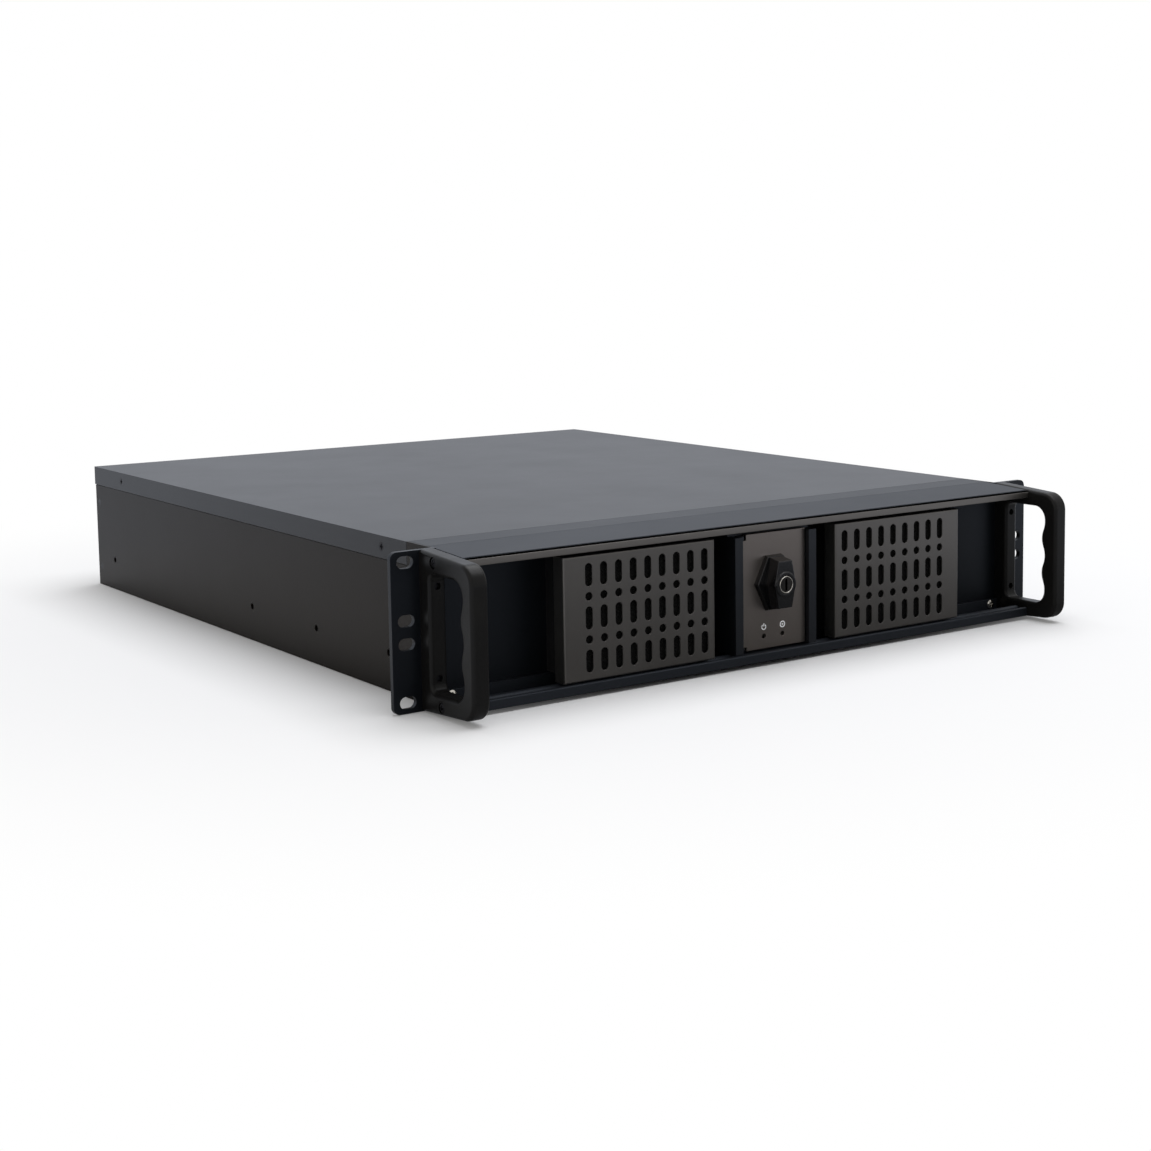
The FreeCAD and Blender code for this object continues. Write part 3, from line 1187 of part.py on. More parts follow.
def supply_bracket():
    """Folded floor bracket that carries the power supply."""
    x0 = SUPPLY_CENTRE - SUPPLY_WIDTH / 2
    x1 = SUPPLY_CENTRE + SUPPLY_WIDTH / 2
    z1 = SUPPLY_FLOOR - SHEET
    section = [(x0, SHEET), (x0 + SHEET, SHEET), (x0 + SHEET, z1 - SHEET),
               (x1 - SHEET, z1 - SHEET), (x1 - SHEET, SHEET), (x1, SHEET), (x1, z1), (x0, z1)]
    y1 = BODY_REAR - SHEET - REAR_LIP
    bracket = prism_xz(section, y1 - SUPPLY_DEPTH, y1)
    window = box(x0 + SUPPLY_RAIL, x1 - SUPPLY_RAIL, y1 - SUPPLY_DEPTH + SUPPLY_RAIL,
                 y1 - SUPPLY_RAIL, z1 - SHEET - 1, z1 + 1)
    return bracket.cut(window)


# ---------------------------------------------------------------- export
def assembly():
    right_rotor = fan_rotor()
    right_frame = fan_frame()
    handle = right_handle()
    grille = grille_cover()
    duct = filter_frame()
    mat = filter_mat()
    cage = drive_cage()
    return {
        "front_plate": front_plate(),
        "case_body": case_body(),
        "right_fan_bracket": fan_bracket(),
        "left_fan_bracket": mirror_x(fan_bracket()),
        "front_bridge": front_bridge(),
        "top_cover": top_cover(),
        "cover_screws": cover_screws(),
        "slide_inserts": slide_inserts(),
        "top_rail": bezel_rail(RAIL_FACE_TOP, RAIL_PORT_TOP),
        "bottom_rail": mirror_mid(bezel_rail(RAIL_FACE_BOTTOM, RAIL_PORT_BOTTOM)),
        "rail_screws": rail_screws(),
        "right_handle": handle,
        "left_handle": mirror_x(handle),
        "handle_screws": handle_screws(),
        "handle_bolts": handle_bolts(),
        "right_grille": grille,
        "left_grille": mirror_x(grille),
        "right_filter_frame": duct,
        "left_filter_frame": mirror_x(duct),
        "right_filter": mat,
        "left_filter": mirror_x(mat),
        "centre_housing": centre_housing(),
        "door_pins": door_pins(),
        "centre_door": centre_door(),
        "lock_rosette": lock_rosette(),
        "lock_nut": lock_nut(),
        "lock_knob": lock_knob(),
        "key_cylinder": key_cylinder(),
        "lock_cam": lock_cam(),
        "control_bracket": control_bracket(),
        "control_board": control_board(),
        "power_button": push_button(POWER_X, POWER_RADIUS),
        "reset_button": push_button(RESET_X, RESET_RADIUS),
        "usb_sockets": usb_sockets(),
        "power_lamp": indicator_lamp(-1),
        "drive_lamp": indicator_lamp(1),
        "right_fan_frame": right_frame,
        "left_fan_frame": mirror_x(right_frame),
        "right_fan_rotor": right_rotor,
        "left_fan_rotor": mirror_x(right_rotor),
        "fan_screws": fan_screws(),
        "right_drive_cage": cage,
        "left_drive_cage": mirror_x(cage),
        "standoffs": standoffs(),
        "cover_bar": cover_bar(),
        "rear_wall": rear_wall(),
        "rear_rivets": rear_rivets(),
        "slot_ledge": slot_ledge(),
        "slot_blanks": slot_blanks(),
        "slot_screws": slot_screws(),
        "supply_bracket": supply_bracket(),
    }


os.makedirs("parts", exist_ok=True)
for name, shape in assembly().items():
    shape.translate(ORIGIN)
    shape.exportStep(os.path.join("parts", name + ".step"))
    print(name, shape.isValid(), len(shape.Solids), round(shape.Volume / 1000, 2))
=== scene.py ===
# %% [markdown]
# # An empty rackmount server case
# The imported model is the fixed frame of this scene: every sheet, handle and fan is already
# in place, in metres. This lesson adds what a drawing leaves out: screw heads with their
# cross recesses, foam dust filters, curved fan blades, a rim around the key, the lip of the
# top rail, printed symbols and the finishes.

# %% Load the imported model
import json
import bmesh
import bpy
import numpy as np
from mathutils import Matrix, Vector


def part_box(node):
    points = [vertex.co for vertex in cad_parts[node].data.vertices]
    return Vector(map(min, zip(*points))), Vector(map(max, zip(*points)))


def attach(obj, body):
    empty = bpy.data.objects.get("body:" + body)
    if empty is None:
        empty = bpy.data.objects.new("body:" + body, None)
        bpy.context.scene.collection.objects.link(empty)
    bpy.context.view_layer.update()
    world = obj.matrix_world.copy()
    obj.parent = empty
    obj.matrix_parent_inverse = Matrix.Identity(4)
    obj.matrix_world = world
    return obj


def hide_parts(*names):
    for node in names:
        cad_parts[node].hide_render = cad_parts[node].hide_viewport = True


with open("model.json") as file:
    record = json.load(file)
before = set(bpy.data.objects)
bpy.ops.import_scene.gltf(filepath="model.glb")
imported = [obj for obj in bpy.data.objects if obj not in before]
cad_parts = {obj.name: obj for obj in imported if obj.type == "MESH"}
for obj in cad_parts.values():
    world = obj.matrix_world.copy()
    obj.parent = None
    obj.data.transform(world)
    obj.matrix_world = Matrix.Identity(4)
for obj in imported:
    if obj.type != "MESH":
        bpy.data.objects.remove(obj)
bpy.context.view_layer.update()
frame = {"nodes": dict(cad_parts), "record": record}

nodes = frame["nodes"]
print("nodes loaded:", len(nodes))

# %% [markdown]
# ## Two small helpers for colour and nodes
# Paint makers give colours as sRGB hex values, but the renderer adds up light in linear
# numbers, so one function turns the first into the second. One more function adds a
# shader node, sets it and links its inputs, so that each finish below reads as a recipe.


# %% Colour and node helpers
def linear(hex_code, alpha=1.0):
    """Undo the sRGB curve of each channel: divide by 12.92 near black, else a power of 2.4."""
    srgb = np.array([int(hex_code[i:i + 2], 16) for i in (1, 3, 5)]) / 255
    value = np.where(srgb <= 0.04045, srgb / 12.92, ((srgb + 0.055) / 1.055) ** 2.4)
    return (*value.tolist(), alpha)


def add_node(tree, kind, settings=None, inputs=None):
    """Settings are the node's own fields; an input is a constant, or a socket to link."""
    node = tree.nodes.new(kind)
    for name, value in (settings or {}).items():
        setattr(node, name, value)
    for name, value in (inputs or {}).items():
        if isinstance(value, bpy.types.NodeSocket):
            tree.links.new(value, node.inputs[name])
        else:
            node.inputs[name].default_value = value
    return node


def new_material(name, settings):
    """An empty material with its shader and output; returns material, tree and shader."""
    material = bpy.data.materials.new(name)
    material.use_nodes = True
    tree = material.node_tree
    tree.nodes.clear()
    shader = add_node(tree, "ShaderNodeBsdfPrincipled", inputs=settings)
    add_node(tree, "ShaderNodeOutputMaterial", inputs={"Surface": shader.outputs[0]})
    return material, tree, shader


def vary_colour(tree, shader, dark, light, size_mm):
    """Soft cloudy noise, one cloud per size_mm, mixes two close tones of one paint."""
    place = add_node(tree, "ShaderNodeTexCoord")
    cloud = add_node(tree, "ShaderNodeTexNoise",
                     inputs={"Vector": place.outputs["Object"], "Scale": 1000 / size_mm,
                             "Detail": 4.0, "Roughness": 0.6})
    tone = add_node(tree, "ShaderNodeMix", {"data_type": "RGBA"},
                    {0: cloud.outputs["Fac"], 6: linear(dark), 7: linear(light)})
    tree.links.new(tone.outputs[2], shader.inputs["Base Color"])
    return cloud


def roughness_range(tree, shader, source, low, high):
    """Map a 0.3 to 0.7 noise value onto a range of roughness."""
    spread = add_node(tree, "ShaderNodeMapRange",
                      inputs={"Value": source, "From Min": 0.3, "From Max": 0.7,
                              "To Min": low, "To Max": high})
    tree.links.new(spread.outputs["Result"], shader.inputs["Roughness"])


def grain_bump(tree, shader, height, depth_mm, strength=1.0, edge_mm=0.0):
    """Turn a height pattern into slopes, over edges rounded to edge_mm where that is set."""
    bump = add_node(tree, "ShaderNodeBump", inputs={"Height": height, "Strength": strength,
                                                    "Distance": depth_mm / 1000})
    if edge_mm:
        edge = add_node(tree, "ShaderNodeBevel", {"samples": 4}, {"Radius": edge_mm / 1000})
        tree.links.new(edge.outputs["Normal"], bump.inputs["Normal"])
    tree.links.new(bump.outputs["Normal"], shader.inputs["Normal"])


# %% [markdown]
# ## Powder coat on folded steel
# The case is mild steel sheet under a black polyester powder coat. The powder melts into a
# skin with a fine orange peel, about one dimple per millimetre, which breaks up reflections.
# The lid shows pale because the skin mirrors the room at a low angle, not because it is grey.
#
# The two rails are aluminium extrusions, anodised black. Their dyed oxide is rougher than
# paint and has a finer grain, so the same recipe serves with other numbers.
#
# A coat of plain resin has an index near 1.5. The grilles, the door and the rail's lip have a
# harder gloss than that gives, so their index is raised to 1.8 to match.


# %% Coats
cloud_mm, peel_depth_mm, peel_strength = 60, 0.035, 0.7


def coat(name, dark, light, peel_mm, low, high, edge_mm, specular, sheen="#FFFFFF", ior=1.5):
    """Two tones, dimples peel_mm wide, roughness low to high, edges rounded to edge_mm.

    Specular and ior set how strong the reflection is, and sheen is its tint: a painted colour of
    the light that the face mirrors.
    """
    material, tree, shader = new_material(name, {"IOR": ior, "Specular IOR Level": specular,
                                                 "Specular Tint": linear(sheen)})
    cloud = vary_colour(tree, shader, dark, light, cloud_mm)
    roughness_range(tree, shader, cloud.outputs["Fac"], low, high)
    place = add_node(tree, "ShaderNodeTexCoord")
    peel = add_node(tree, "ShaderNodeTexNoise",
                    inputs={"Vector": place.outputs["Object"], "Scale": 1000 / peel_mm,
                            "Detail": 2.0, "Roughness": 0.5})
    grain_bump(tree, shader, peel.outputs["Fac"], peel_depth_mm, peel_strength, edge_mm)
    return material


# Lid and body are copies of one powder coat, and the bezel, plate and bridge are copies of
# another. Their gloss and sheen tints differ as painted light and shade: a stronger, cool
# reflection on the lid against a weaker, warm one on the side, and each bezel copy set to the
# light on its own face.
lid_coat = coat("powder_coat_lid", "#0F0F10", "#131314", peel_mm=1.1, low=0.36, high=0.385,
                edge_mm=0.6, specular=0.24, sheen="#F4F7FF")
case_coat = coat("powder_coat_body", "#11100E", "#151412", peel_mm=1.1, low=0.36, high=0.385,
                 edge_mm=0.6, specular=0.1, sheen="#FFDCC2")
bezel_coat = coat("powder_coat_bezel", "#0B0D0F", "#111316", peel_mm=0.9, low=0.36, high=0.39,
                  edge_mm=0.5, specular=0.42, sheen="#EAF1FF")
plate_coat = coat("powder_coat_plate", "#0A0C0F", "#0F1216", peel_mm=0.9, low=0.4, high=0.44,
                  edge_mm=0.5, specular=0.25, sheen="#E6EFFF")
bridge_coat = coat("powder_coat_bridge", "#0D0F12", "#13161A", peel_mm=0.9, low=0.48, high=0.52,
                   edge_mm=0.5, specular=0.34, sheen="#E6EFFF")
grille_coat = coat("powder_coat_grille", "#1F1F1E", "#282827", peel_mm=0.8, low=0.32, high=0.38,
                   edge_mm=0.4, specular=0.65, sheen="#FFF7F0", ior=1.8)
door_coat = coat("powder_coat_door", "#262524", "#302F2D", peel_mm=0.8, low=0.3, high=0.36,
                 edge_mm=0.5, specular=0.98, sheen="#FFF0E6", ior=1.8)
rail_coat = coat("anodised_extrusion_black", "#0B0D10", "#111418", peel_mm=0.7, low=0.56,
                 high=0.6, edge_mm=0.5, specular=0.42, sheen="#E2ECFF")
# Painted light: the lip takes a lighter, glossier copy of the rail's anodising, for the light
# that the lip catches.
lip_painted_light_coat = coat("anodised_lip_painted_light", "#1A1A18", "#21211F", peel_mm=0.7, low=0.34, high=0.4,
                edge_mm=0.5, specular=0.76, sheen="#FFF7F0", ior=1.8)
# Painted shade: a matt black coat for the band that stands for the shade in the rail's groove.
painted_groove_shade = coat("painted_shade_groove", "#020202", "#040404", peel_mm=0.7, low=0.8, high=0.9,
                    edge_mm=0.5, specular=0.0)
print("coats:", case_coat.name, grille_coat.name, rail_coat.name)

# %% [markdown]
# ## Metals and plastics
# The handles are die-cast aluminium, bead blasted and anodised black: a dyed oxide skin with
# a soft satin sheen. Screws are zinc plated, nickel plated or blackened steel. The key
# cylinder is plated with black nickel and has a bright nickel rim. The inner brackets are
# galvanised and show large zinc crystals.


# %% Handle finish
blast_mm, blast_depth_mm = 0.5, 0.012


def anodised_handle():
    """The blasted grain is 0.5 mm wide, and the dye is cloudy over about 25 mm."""
    material, tree, shader = new_material("anodised_aluminium_black",
                                          {"IOR": 1.5, "Specular IOR Level": 0.13})
    cloud = vary_colour(tree, shader, "#121213", "#1A1917", 25)
    roughness_range(tree, shader, cloud.outputs["Fac"], 0.3, 0.4)
    place = add_node(tree, "ShaderNodeTexCoord")
    blast = add_node(tree, "ShaderNodeTexNoise",
                     inputs={"Vector": place.outputs["Object"], "Scale": 1000 / blast_mm,
                             "Detail": 1.0})
    grain_bump(tree, shader, blast.outputs["Fac"], blast_depth_mm, 0.6)
    return material


handle_finish = anodised_handle()


# %% Bare metals
def bare_metal(name, dark, light, cloud_mm, low, high, scratch_mm, depth_mm):
    """Metal whose fine scratches run along X: the noise is stretched twenty times that way."""
    material, tree, shader = new_material(name, {"Metallic": 1.0})
    cloud = vary_colour(tree, shader, dark, light, cloud_mm)
    roughness_range(tree, shader, cloud.outputs["Fac"], low, high)
    place = add_node(tree, "ShaderNodeTexCoord")
    stretch = add_node(tree, "ShaderNodeMapping",
                       inputs={"Vector": place.outputs["Object"], "Scale": (0.05, 1, 1)})
    lines = add_node(tree, "ShaderNodeTexNoise",
                     inputs={"Vector": stretch.outputs[0], "Scale": 1000 / scratch_mm,
                             "Detail": 3.0})
    grain_bump(tree, shader, lines.outputs["Fac"], depth_mm, 0.5)
    return material


zinc_plate = bare_metal("zinc_plated_steel", "#A9ABB0", "#C6C8CB", 6, 0.25, 0.4, 0.3, 0.005)
black_steel = bare_metal("blackened_steel", "#1E1E20", "#2C2C2E", 4, 0.35, 0.5, 0.3, 0.005)
black_nickel = bare_metal("black_nickel_plate", "#3B3937", "#4A4845", 5, 0.18, 0.28, 0.4, 0.004)
nickel = bare_metal("nickel_plated_brass", "#BDB9B0", "#D2CEC6", 5, 0.16, 0.26, 0.4, 0.004)
turned_brass = bare_metal("turned_brass", "#B08D4A", "#CBA860", 4, 0.22, 0.34, 0.2, 0.004)


crystal_mm = 9


def galvanised_sheet():
    """Zinc crystals are flat cells, each with its own tone and gloss."""
    material, tree, shader = new_material("galvanised_sheet", {"Metallic": 1.0})
    place = add_node(tree, "ShaderNodeTexCoord")
    crystal = add_node(tree, "ShaderNodeTexVoronoi",
                       inputs={"Vector": place.outputs["Object"], "Scale": 1000 / crystal_mm,
                               "Randomness": 1.0})
    chance = add_node(tree, "ShaderNodeSeparateColor", inputs={0: crystal.outputs["Color"]})
    tone = add_node(tree, "ShaderNodeMix", {"data_type": "RGBA"},
                    {0: chance.outputs[0], 6: linear("#9A9DA0"), 7: linear("#B9BCBE")})
    tree.links.new(tone.outputs[2], shader.inputs["Base Color"])
    roughness_range(tree, shader, chance.outputs[1], 0.3, 0.45)
    return material


galvanised = galvanised_sheet()
print("metals:", zinc_plate.name, nickel.name, galvanised.name)


# %% Moulded plastics
def moulded(name, dark, light, low, high, texture_mm, depth_mm, edge_mm=0.0):
    """Moulded plastic carries the spark-eroded texture of its mould, texture_mm wide."""
    material, tree, shader = new_material(name, {"IOR": 1.53})
    cloud = vary_colour(tree, shader, dark, light, 20)
    roughness_range(tree, shader, cloud.outputs["Fac"], low, high)
    place = add_node(tree, "ShaderNodeTexCoord")
    spark = add_node(tree, "ShaderNodeTexVoronoi",
                     inputs={"Vector": place.outputs["Object"], "Scale": 1000 / texture_mm})
    grain_bump(tree, shader, spark.outputs["Distance"], depth_mm, 0.6, edge_mm)
    return material


knob_plastic = moulded("abs_black_gloss", "#060607", "#0A0A0C", low=0.14, high=0.2,
                       texture_mm=1.2, depth_mm=0.01, edge_mm=0.8)
fan_plastic = moulded("pbt_black", "#141415", "#1B1B1C", low=0.42, high=0.55,
                      texture_mm=0.8, depth_mm=0.02)
frame_plastic = moulded("abs_black_textured", "#101011", "#171718", low=0.5, high=0.6,
                        texture_mm=0.9, depth_mm=0.03)
track_mm = 4


def circuit_board():
    """Green lacquer over copper: a brick pattern track_mm long stands for the tracks."""
    material, tree, shader = new_material("fr4_green_lacquer", {"IOR": 1.55,
                                                                "Roughness": 0.35})
    place = add_node(tree, "ShaderNodeTexCoord")
    turn = add_node(tree, "ShaderNodeMapping", inputs={"Vector": place.outputs["Object"],
                                                       "Rotation": (np.pi / 2, 0, 0)})
    tracks = add_node(tree, "ShaderNodeTexBrick",
                      inputs={"Vector": turn.outputs[0], "Scale": 1000 / track_mm,
                              "Color1": linear("#1C5A34"), "Color2": linear("#206239"),
                              "Mortar": linear("#2F7B47"), "Mortar Size": 0.05})
    tree.links.new(tracks.outputs["Color"], shader.inputs["Base Color"])
    return material


board_lacquer = circuit_board()
lamp_acrylic, _, _ = new_material("clear_acrylic", {"Base Color": linear("#C9D3CB"),
                                                   "Roughness": 0.25, "IOR": 1.49,
                                                   "Transmission Weight": 0.7})
ink, _, _ = new_material("pad_printed_ink", {"Base Color": linear("#F4F5F6"),
                                             "Roughness": 0.6})


pore_mm, strut_depth_mm = 1.6, 0.4


def open_cell_foam():
    """Reticulated black foam, a little paler along its struts; the darker pores are painted
    shade inside the open cells.
    """
    material, tree, shader = new_material("open_cell_foam", {"Roughness": 0.9,
                                                             "Specular IOR Level": 0.1})
    place = add_node(tree, "ShaderNodeTexCoord")
    pore = add_node(tree, "ShaderNodeTexVoronoi", {"feature": "DISTANCE_TO_EDGE"},
                    {"Vector": place.outputs["Object"], "Scale": 1000 / pore_mm})
    strut_and_pore_shade = add_node(tree, "ShaderNodeMapRange",
                     inputs={"Value": pore.outputs["Distance"], "From Min": 0.02,
                             "From Max": 0.25, "To Min": 1.0, "To Max": 0.0})
    # Painted shade: the pores take the darker tone, for the shade inside the open cells.
    tone = add_node(tree, "ShaderNodeMix", {"data_type": "RGBA"},
                    {0: strut_and_pore_shade.outputs["Result"], 6: linear("#020202"), 7: linear("#10100F")})
    tree.links.new(tone.outputs[2], shader.inputs["Base Color"])
    grain_bump(tree, shader, strut_and_pore_shade.outputs["Result"], strut_depth_mm, 0.8)
    return material


foam = open_cell_foam()

# %% [markdown]
# ## Dress the carried-over pieces
# Each sheet, casting and moulding keeps its own mesh and only takes its finish. Most follow
# the slot that the record gives them; ten nodes have a finish of their own.


# %% Give every node its finish
finish_of_slot = {
    "case_paint": case_coat, "bezel_paint": bezel_coat, "grille_paint": grille_coat,
    "handle_finish": handle_finish, "black_plastic": fan_plastic,
    "knob_plastic": knob_plastic, "bright_metal": nickel, "screw_steel": zinc_plate,
    "black_screw": black_steel, "zinc_sheet": galvanised, "brass": turned_brass,
    "foam": foam, "board": board_lacquer, "lamp_clear": lamp_acrylic,
}
for part in frame["record"]["subparts"]:
    node = nodes[part["node"]]
    node.data.materials.clear()
    node.data.materials.append(finish_of_slot[part["material_slot"]])
finish_of_node = {
    "left_filter_frame": frame_plastic, "right_filter_frame": frame_plastic,
    "top_cover": lid_coat, "centre_door": door_coat, "front_plate": plate_coat,
    "top_rail": rail_coat, "bottom_rail": rail_coat, "front_bridge": bridge_coat,
    "slide_inserts": case_coat, "key_cylinder": black_nickel,
}
for name, finish in finish_of_node.items():
    nodes[name].data.materials[0] = finish

# %% [markdown]
# ## Surfaces from numpy
# Every new piece is a grid of points worked out from two parameters. A grid that closes on
# itself is wrapped, and rings that shrink to one point are merged, so each shell is closed.


# %% Grid to mesh
def grid_faces(rows, columns, wrap=True):
    """Quads between neighbouring points of a rows by columns grid, wrapped along a row."""
    i, j = np.meshgrid(np.arange(rows - 1), np.arange(columns if wrap else columns - 1),
                       indexing="ij")
    k = (j + 1) % columns
    quads = [i * columns + j, i * columns + k, (i + 1) * columns + k, (i + 1) * columns + j]
    return np.stack(quads, -1).reshape(-1, 4)


def make_piece(name, shells, body, material, merge_mm=0.01):
    """Join shells of (points, quads) into one object, merge doubles and turn faces outwards."""
    offsets = np.cumsum([0] + [len(points) for points, _ in shells[:-1]])
    points = np.concatenate([points for points, _ in shells])
    quads = np.concatenate([quads + start for (_, quads), start in zip(shells, offsets)])
    mesh = bpy.data.meshes.new(name)
    mesh.vertices.add(len(points))
    mesh.vertices.foreach_set("co", points.astype(np.float32).ravel())
    mesh.loops.add(quads.size)
    mesh.loops.foreach_set("vertex_index", quads.astype(np.int32).ravel())
    mesh.polygons.add(len(quads))
    mesh.polygons.foreach_set("loop_start", np.arange(0, quads.size, 4, dtype=np.int32))
    mesh.update(calc_edges=True)
    work = bmesh.new()
    work.from_mesh(mesh)
    bmesh.ops.remove_doubles(work, verts=work.verts, dist=merge_mm / 1000)
    bmesh.ops.dissolve_degenerate(work, edges=work.edges, dist=1e-7)
    bmesh.ops.recalc_face_normals(work, faces=work.faces)
    work.to_mesh(mesh)
    work.free()
    mesh.shade_smooth()
    mesh.set_sharp_from_angle(angle=np.radians(38))
    mesh.materials.append(material)
    piece = bpy.data.objects.new(name, mesh)
    bpy.context.scene.collection.objects.link(piece)
    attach(piece, body)
    print(name, "points:", len(mesh.vertices), "faces:", len(mesh.polygons))
    return piece


def stand(points, seat, axis):
    """Turn points made about +Z so that +Z lies along axis, and move them to the seat."""
    z = np.array(axis, float)
    x = np.cross([0, 0, 1.0] if abs(z[2]) < 0.9 else [0, 1.0, 0], z)
    x /= np.linalg.norm(x)
    y = np.cross(z, x)
    return points @ np.array([x, y, z]) + np.array(seat)


# %% [markdown]
# ## Screws with a cross recess
# A screw head is a surface of radius and angle. Its height is the dome, less a cross-shaped
# pit whose two arms are worked out from x and y. The same rows go on down the edge of the
# head and along the shank, so head and shank are one closed shell.


# %% Cross screw
dome_power, dome_edge = 2.6, 0.35
arm_share, wide_share, deep_share = 0.62, 0.13, 0.55


def smooth_step(low, high, value):
    """0 below low, 1 above high, and t t (3 - 2 t) between."""
    t = np.clip((value - low) / (high - low), 0, 1)
    return t * t * (3 - 2 * t)


def cross_screw(seat, axis, head, rise, shank, length, flush=False, turn=0.3, columns=48):
    """Height is rise (0.35 + 0.65 (1 - (r/R)^2.6)) for a dome, 0 where flush, less the pit."""
    radii = np.concatenate([np.linspace(0, 0.72, 13), [0.8, 0.88, 0.94, 0.98, 1.0]]) * head
    angle = np.linspace(0, 2 * np.pi, columns, endpoint=False)
    r, a = np.meshgrid(radii, angle, indexing="ij")
    x, y = r * np.cos(a + turn), r * np.sin(a + turn)
    dome = rise * (dome_edge + (1 - dome_edge) * (1 - (r / head) ** dome_power))
    top = np.zeros_like(r) if flush else dome
    arm, wide = arm_share * head, wide_share * head

    def pit(across, along):
        return ((1 - smooth_step(wide * 0.7, wide * 1.3, abs(across)))
                * (1 - smooth_step(arm * 0.8, arm, abs(along))))

    slope = 1 - 0.6 * np.clip(r / arm, 0, 1)
    z = top - deep_share * head * np.maximum(pit(y, x), pit(x, y)) * slope
    tail_r = [head, shank, shank, 0] if not flush else [shank, shank, 0]
    tail_z = [0, 0, -length, -length] if not flush else [-(head - shank), -length, -length]
    ring_x = np.outer(tail_r, np.cos(angle + turn))
    ring_y = np.outer(tail_r, np.sin(angle + turn))
    ring_z = np.repeat(np.array(tail_z)[:, None], columns, 1)
    grid = np.stack([np.vstack([x, ring_x]), np.vstack([y, ring_y]), np.vstack([z, ring_z])], -1)
    return stand(grid.reshape(-1, 3), seat, axis), grid_faces(len(grid), columns)


# %% [markdown]
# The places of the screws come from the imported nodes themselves: the loose triangles of a
# group fall into separate solids, and the box of each solid gives its seat and its length.


# %% Find each screw in a node
def solids_of(node):
    """Boxes of the separate solids in a node: points that share a place share a solid.

    They come in the order of their lowest corners, which is the same in every run.
    """
    work = bmesh.new()
    work.from_mesh(nodes[node].data)
    bmesh.ops.remove_doubles(work, verts=work.verts, dist=1e-6)
    left, boxes = set(work.verts), []
    while left:
        stack, seen = [next(iter(left))], []
        left.discard(stack[0])
        while stack:
            vert = stack.pop()
            seen.append(vert.co[:])
            for edge in vert.link_edges:
                other = edge.other_vert(vert)
                if other in left:
                    left.discard(other)
                    stack.append(other)
        boxes.append((np.min(seen, 0), np.max(seen, 0)))
    work.free()
    return sorted(boxes, key=lambda box: np.round(box[0], 6).tolist())


first_turn, next_turn = 0.3, 1.1


def screws_in(node, outward, head, rise, shank, flush=False):
    """One cross screw per solid; outward(centre) is the way that its head faces.

    Each screw stops at another angle, so the crosses don't line up.
    """
    shells = []
    for number, (low, high) in enumerate(solids_of(node)):
        middle = (low + high) / 2
        axis = np.array(outward(middle), float)
        reach = abs(axis @ (high - low)) / 2
        crown = middle + axis * reach
        seat = crown if flush else crown - axis * rise
        length = 2 * reach - (0 if flush else rise)
        shells.append(cross_screw(seat, axis, head, rise, shank, length, flush,
                                  first_turn + next_turn * number))
    return shells


# %% Replace the plain screws
m3_head, m3_shank, m4_head, m4_shank, fan_head = 0.0029, 0.0015, 0.0036, 0.002, 0.0039
pan_rise, slot_rise, fan_rise, no_rise = 0.0011, 0.0022, 0.0021, 0.0
lid_edge = max(high[1] for _, high in solids_of("cover_screws"))
sideways = lambda p: (np.sign(p[0]), 0, 0)
forward = lambda p: (0, -1, 0)
backward = lambda p: (0, 1, 0)
upward = lambda p: (0, 0, 1)
lid_way = lambda p: backward(p) if p[1] > lid_edge - 0.01 else sideways(p)
groups = [
    ("handle_screws", sideways, m3_head, pan_rise, m3_shank, False, black_steel, "black_screw"),
    ("rail_screws", forward, m3_head, pan_rise, m3_shank, False, nickel, "bright_metal"),
    ("cover_screws", lid_way, m3_head, no_rise, m3_shank, True, black_steel, "black_screw"),
    ("handle_bolts", backward, m4_head, no_rise, m4_shank, True, black_steel, "black_screw"),
    ("fan_screws", backward, fan_head, fan_rise, m3_shank, False, zinc_plate, "screw_steel"),
    ("slot_screws", upward, m3_head, slot_rise, m3_shank, False, zinc_plate, "screw_steel"),
]
for node, way, head, rise, shank, flush, metal, slot in groups:
    shells = screws_in(node, way, head, rise, shank, flush)
    piece = make_piece("cross_" + node, shells, "case", metal)
    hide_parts(node)

# %% [markdown]
# ## Foam dust filters
# A filter mat is cut from a sheet of open foam, so it is flat with soft cut edges. Its half
# thickness over u and v is t/2 times the square root of (1-|u|^24)(1-|v|^24): level in the
# middle and closing to nothing along all four edges. A ripple takes up to a twentieth off.


# %% Foam mats
flatness, ripple_share, foam_rows, foam_columns = 24, 0.05, 121, 81


def foam_mat(node):
    """Two faces worked out from u and v meet along the edge of the mat."""
    low, high = (np.array(corner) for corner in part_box(node))
    middle, half = (low + high) / 2, (high - low) / 2
    u, v = np.meshgrid(np.linspace(-1, 1, foam_rows), np.linspace(-1, 1, foam_columns),
                       indexing="ij")
    u, v = np.sin(u * np.pi / 2), np.sin(v * np.pi / 2)
    swell = np.sqrt(np.clip((1 - abs(u) ** flatness) * (1 - abs(v) ** flatness), 0, 1))
    wave = np.sin(47 * u + 3 * np.sin(11 * v)) * np.sin(39 * v)
    ripple = 1 - ripple_share * (1 + wave) / 2
    shells = []
    for side in (-1, 1):
        y = middle[1] + side * half[1] * swell * ripple
        grid = np.stack([middle[0] + half[0] * u, y, middle[2] + half[2] * v], -1)
        shells.append((grid.reshape(-1, 3), grid_faces(foam_rows, foam_columns, False)))
    piece = make_piece("foam_" + node, shells, "case", foam)
    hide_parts(node)


foam_mat("left_filter")
foam_mat("right_filter")

# %% [markdown]
# ## Fan rotors
# A moulded blade is thin, curved and twisted: steep at the hub, flatter at the tip. Its
# section is a closed loop around a curved middle line, and the loop is carried outwards
# along the radius while the pitch angle falls. The hub is a turned cup with a soft nose.


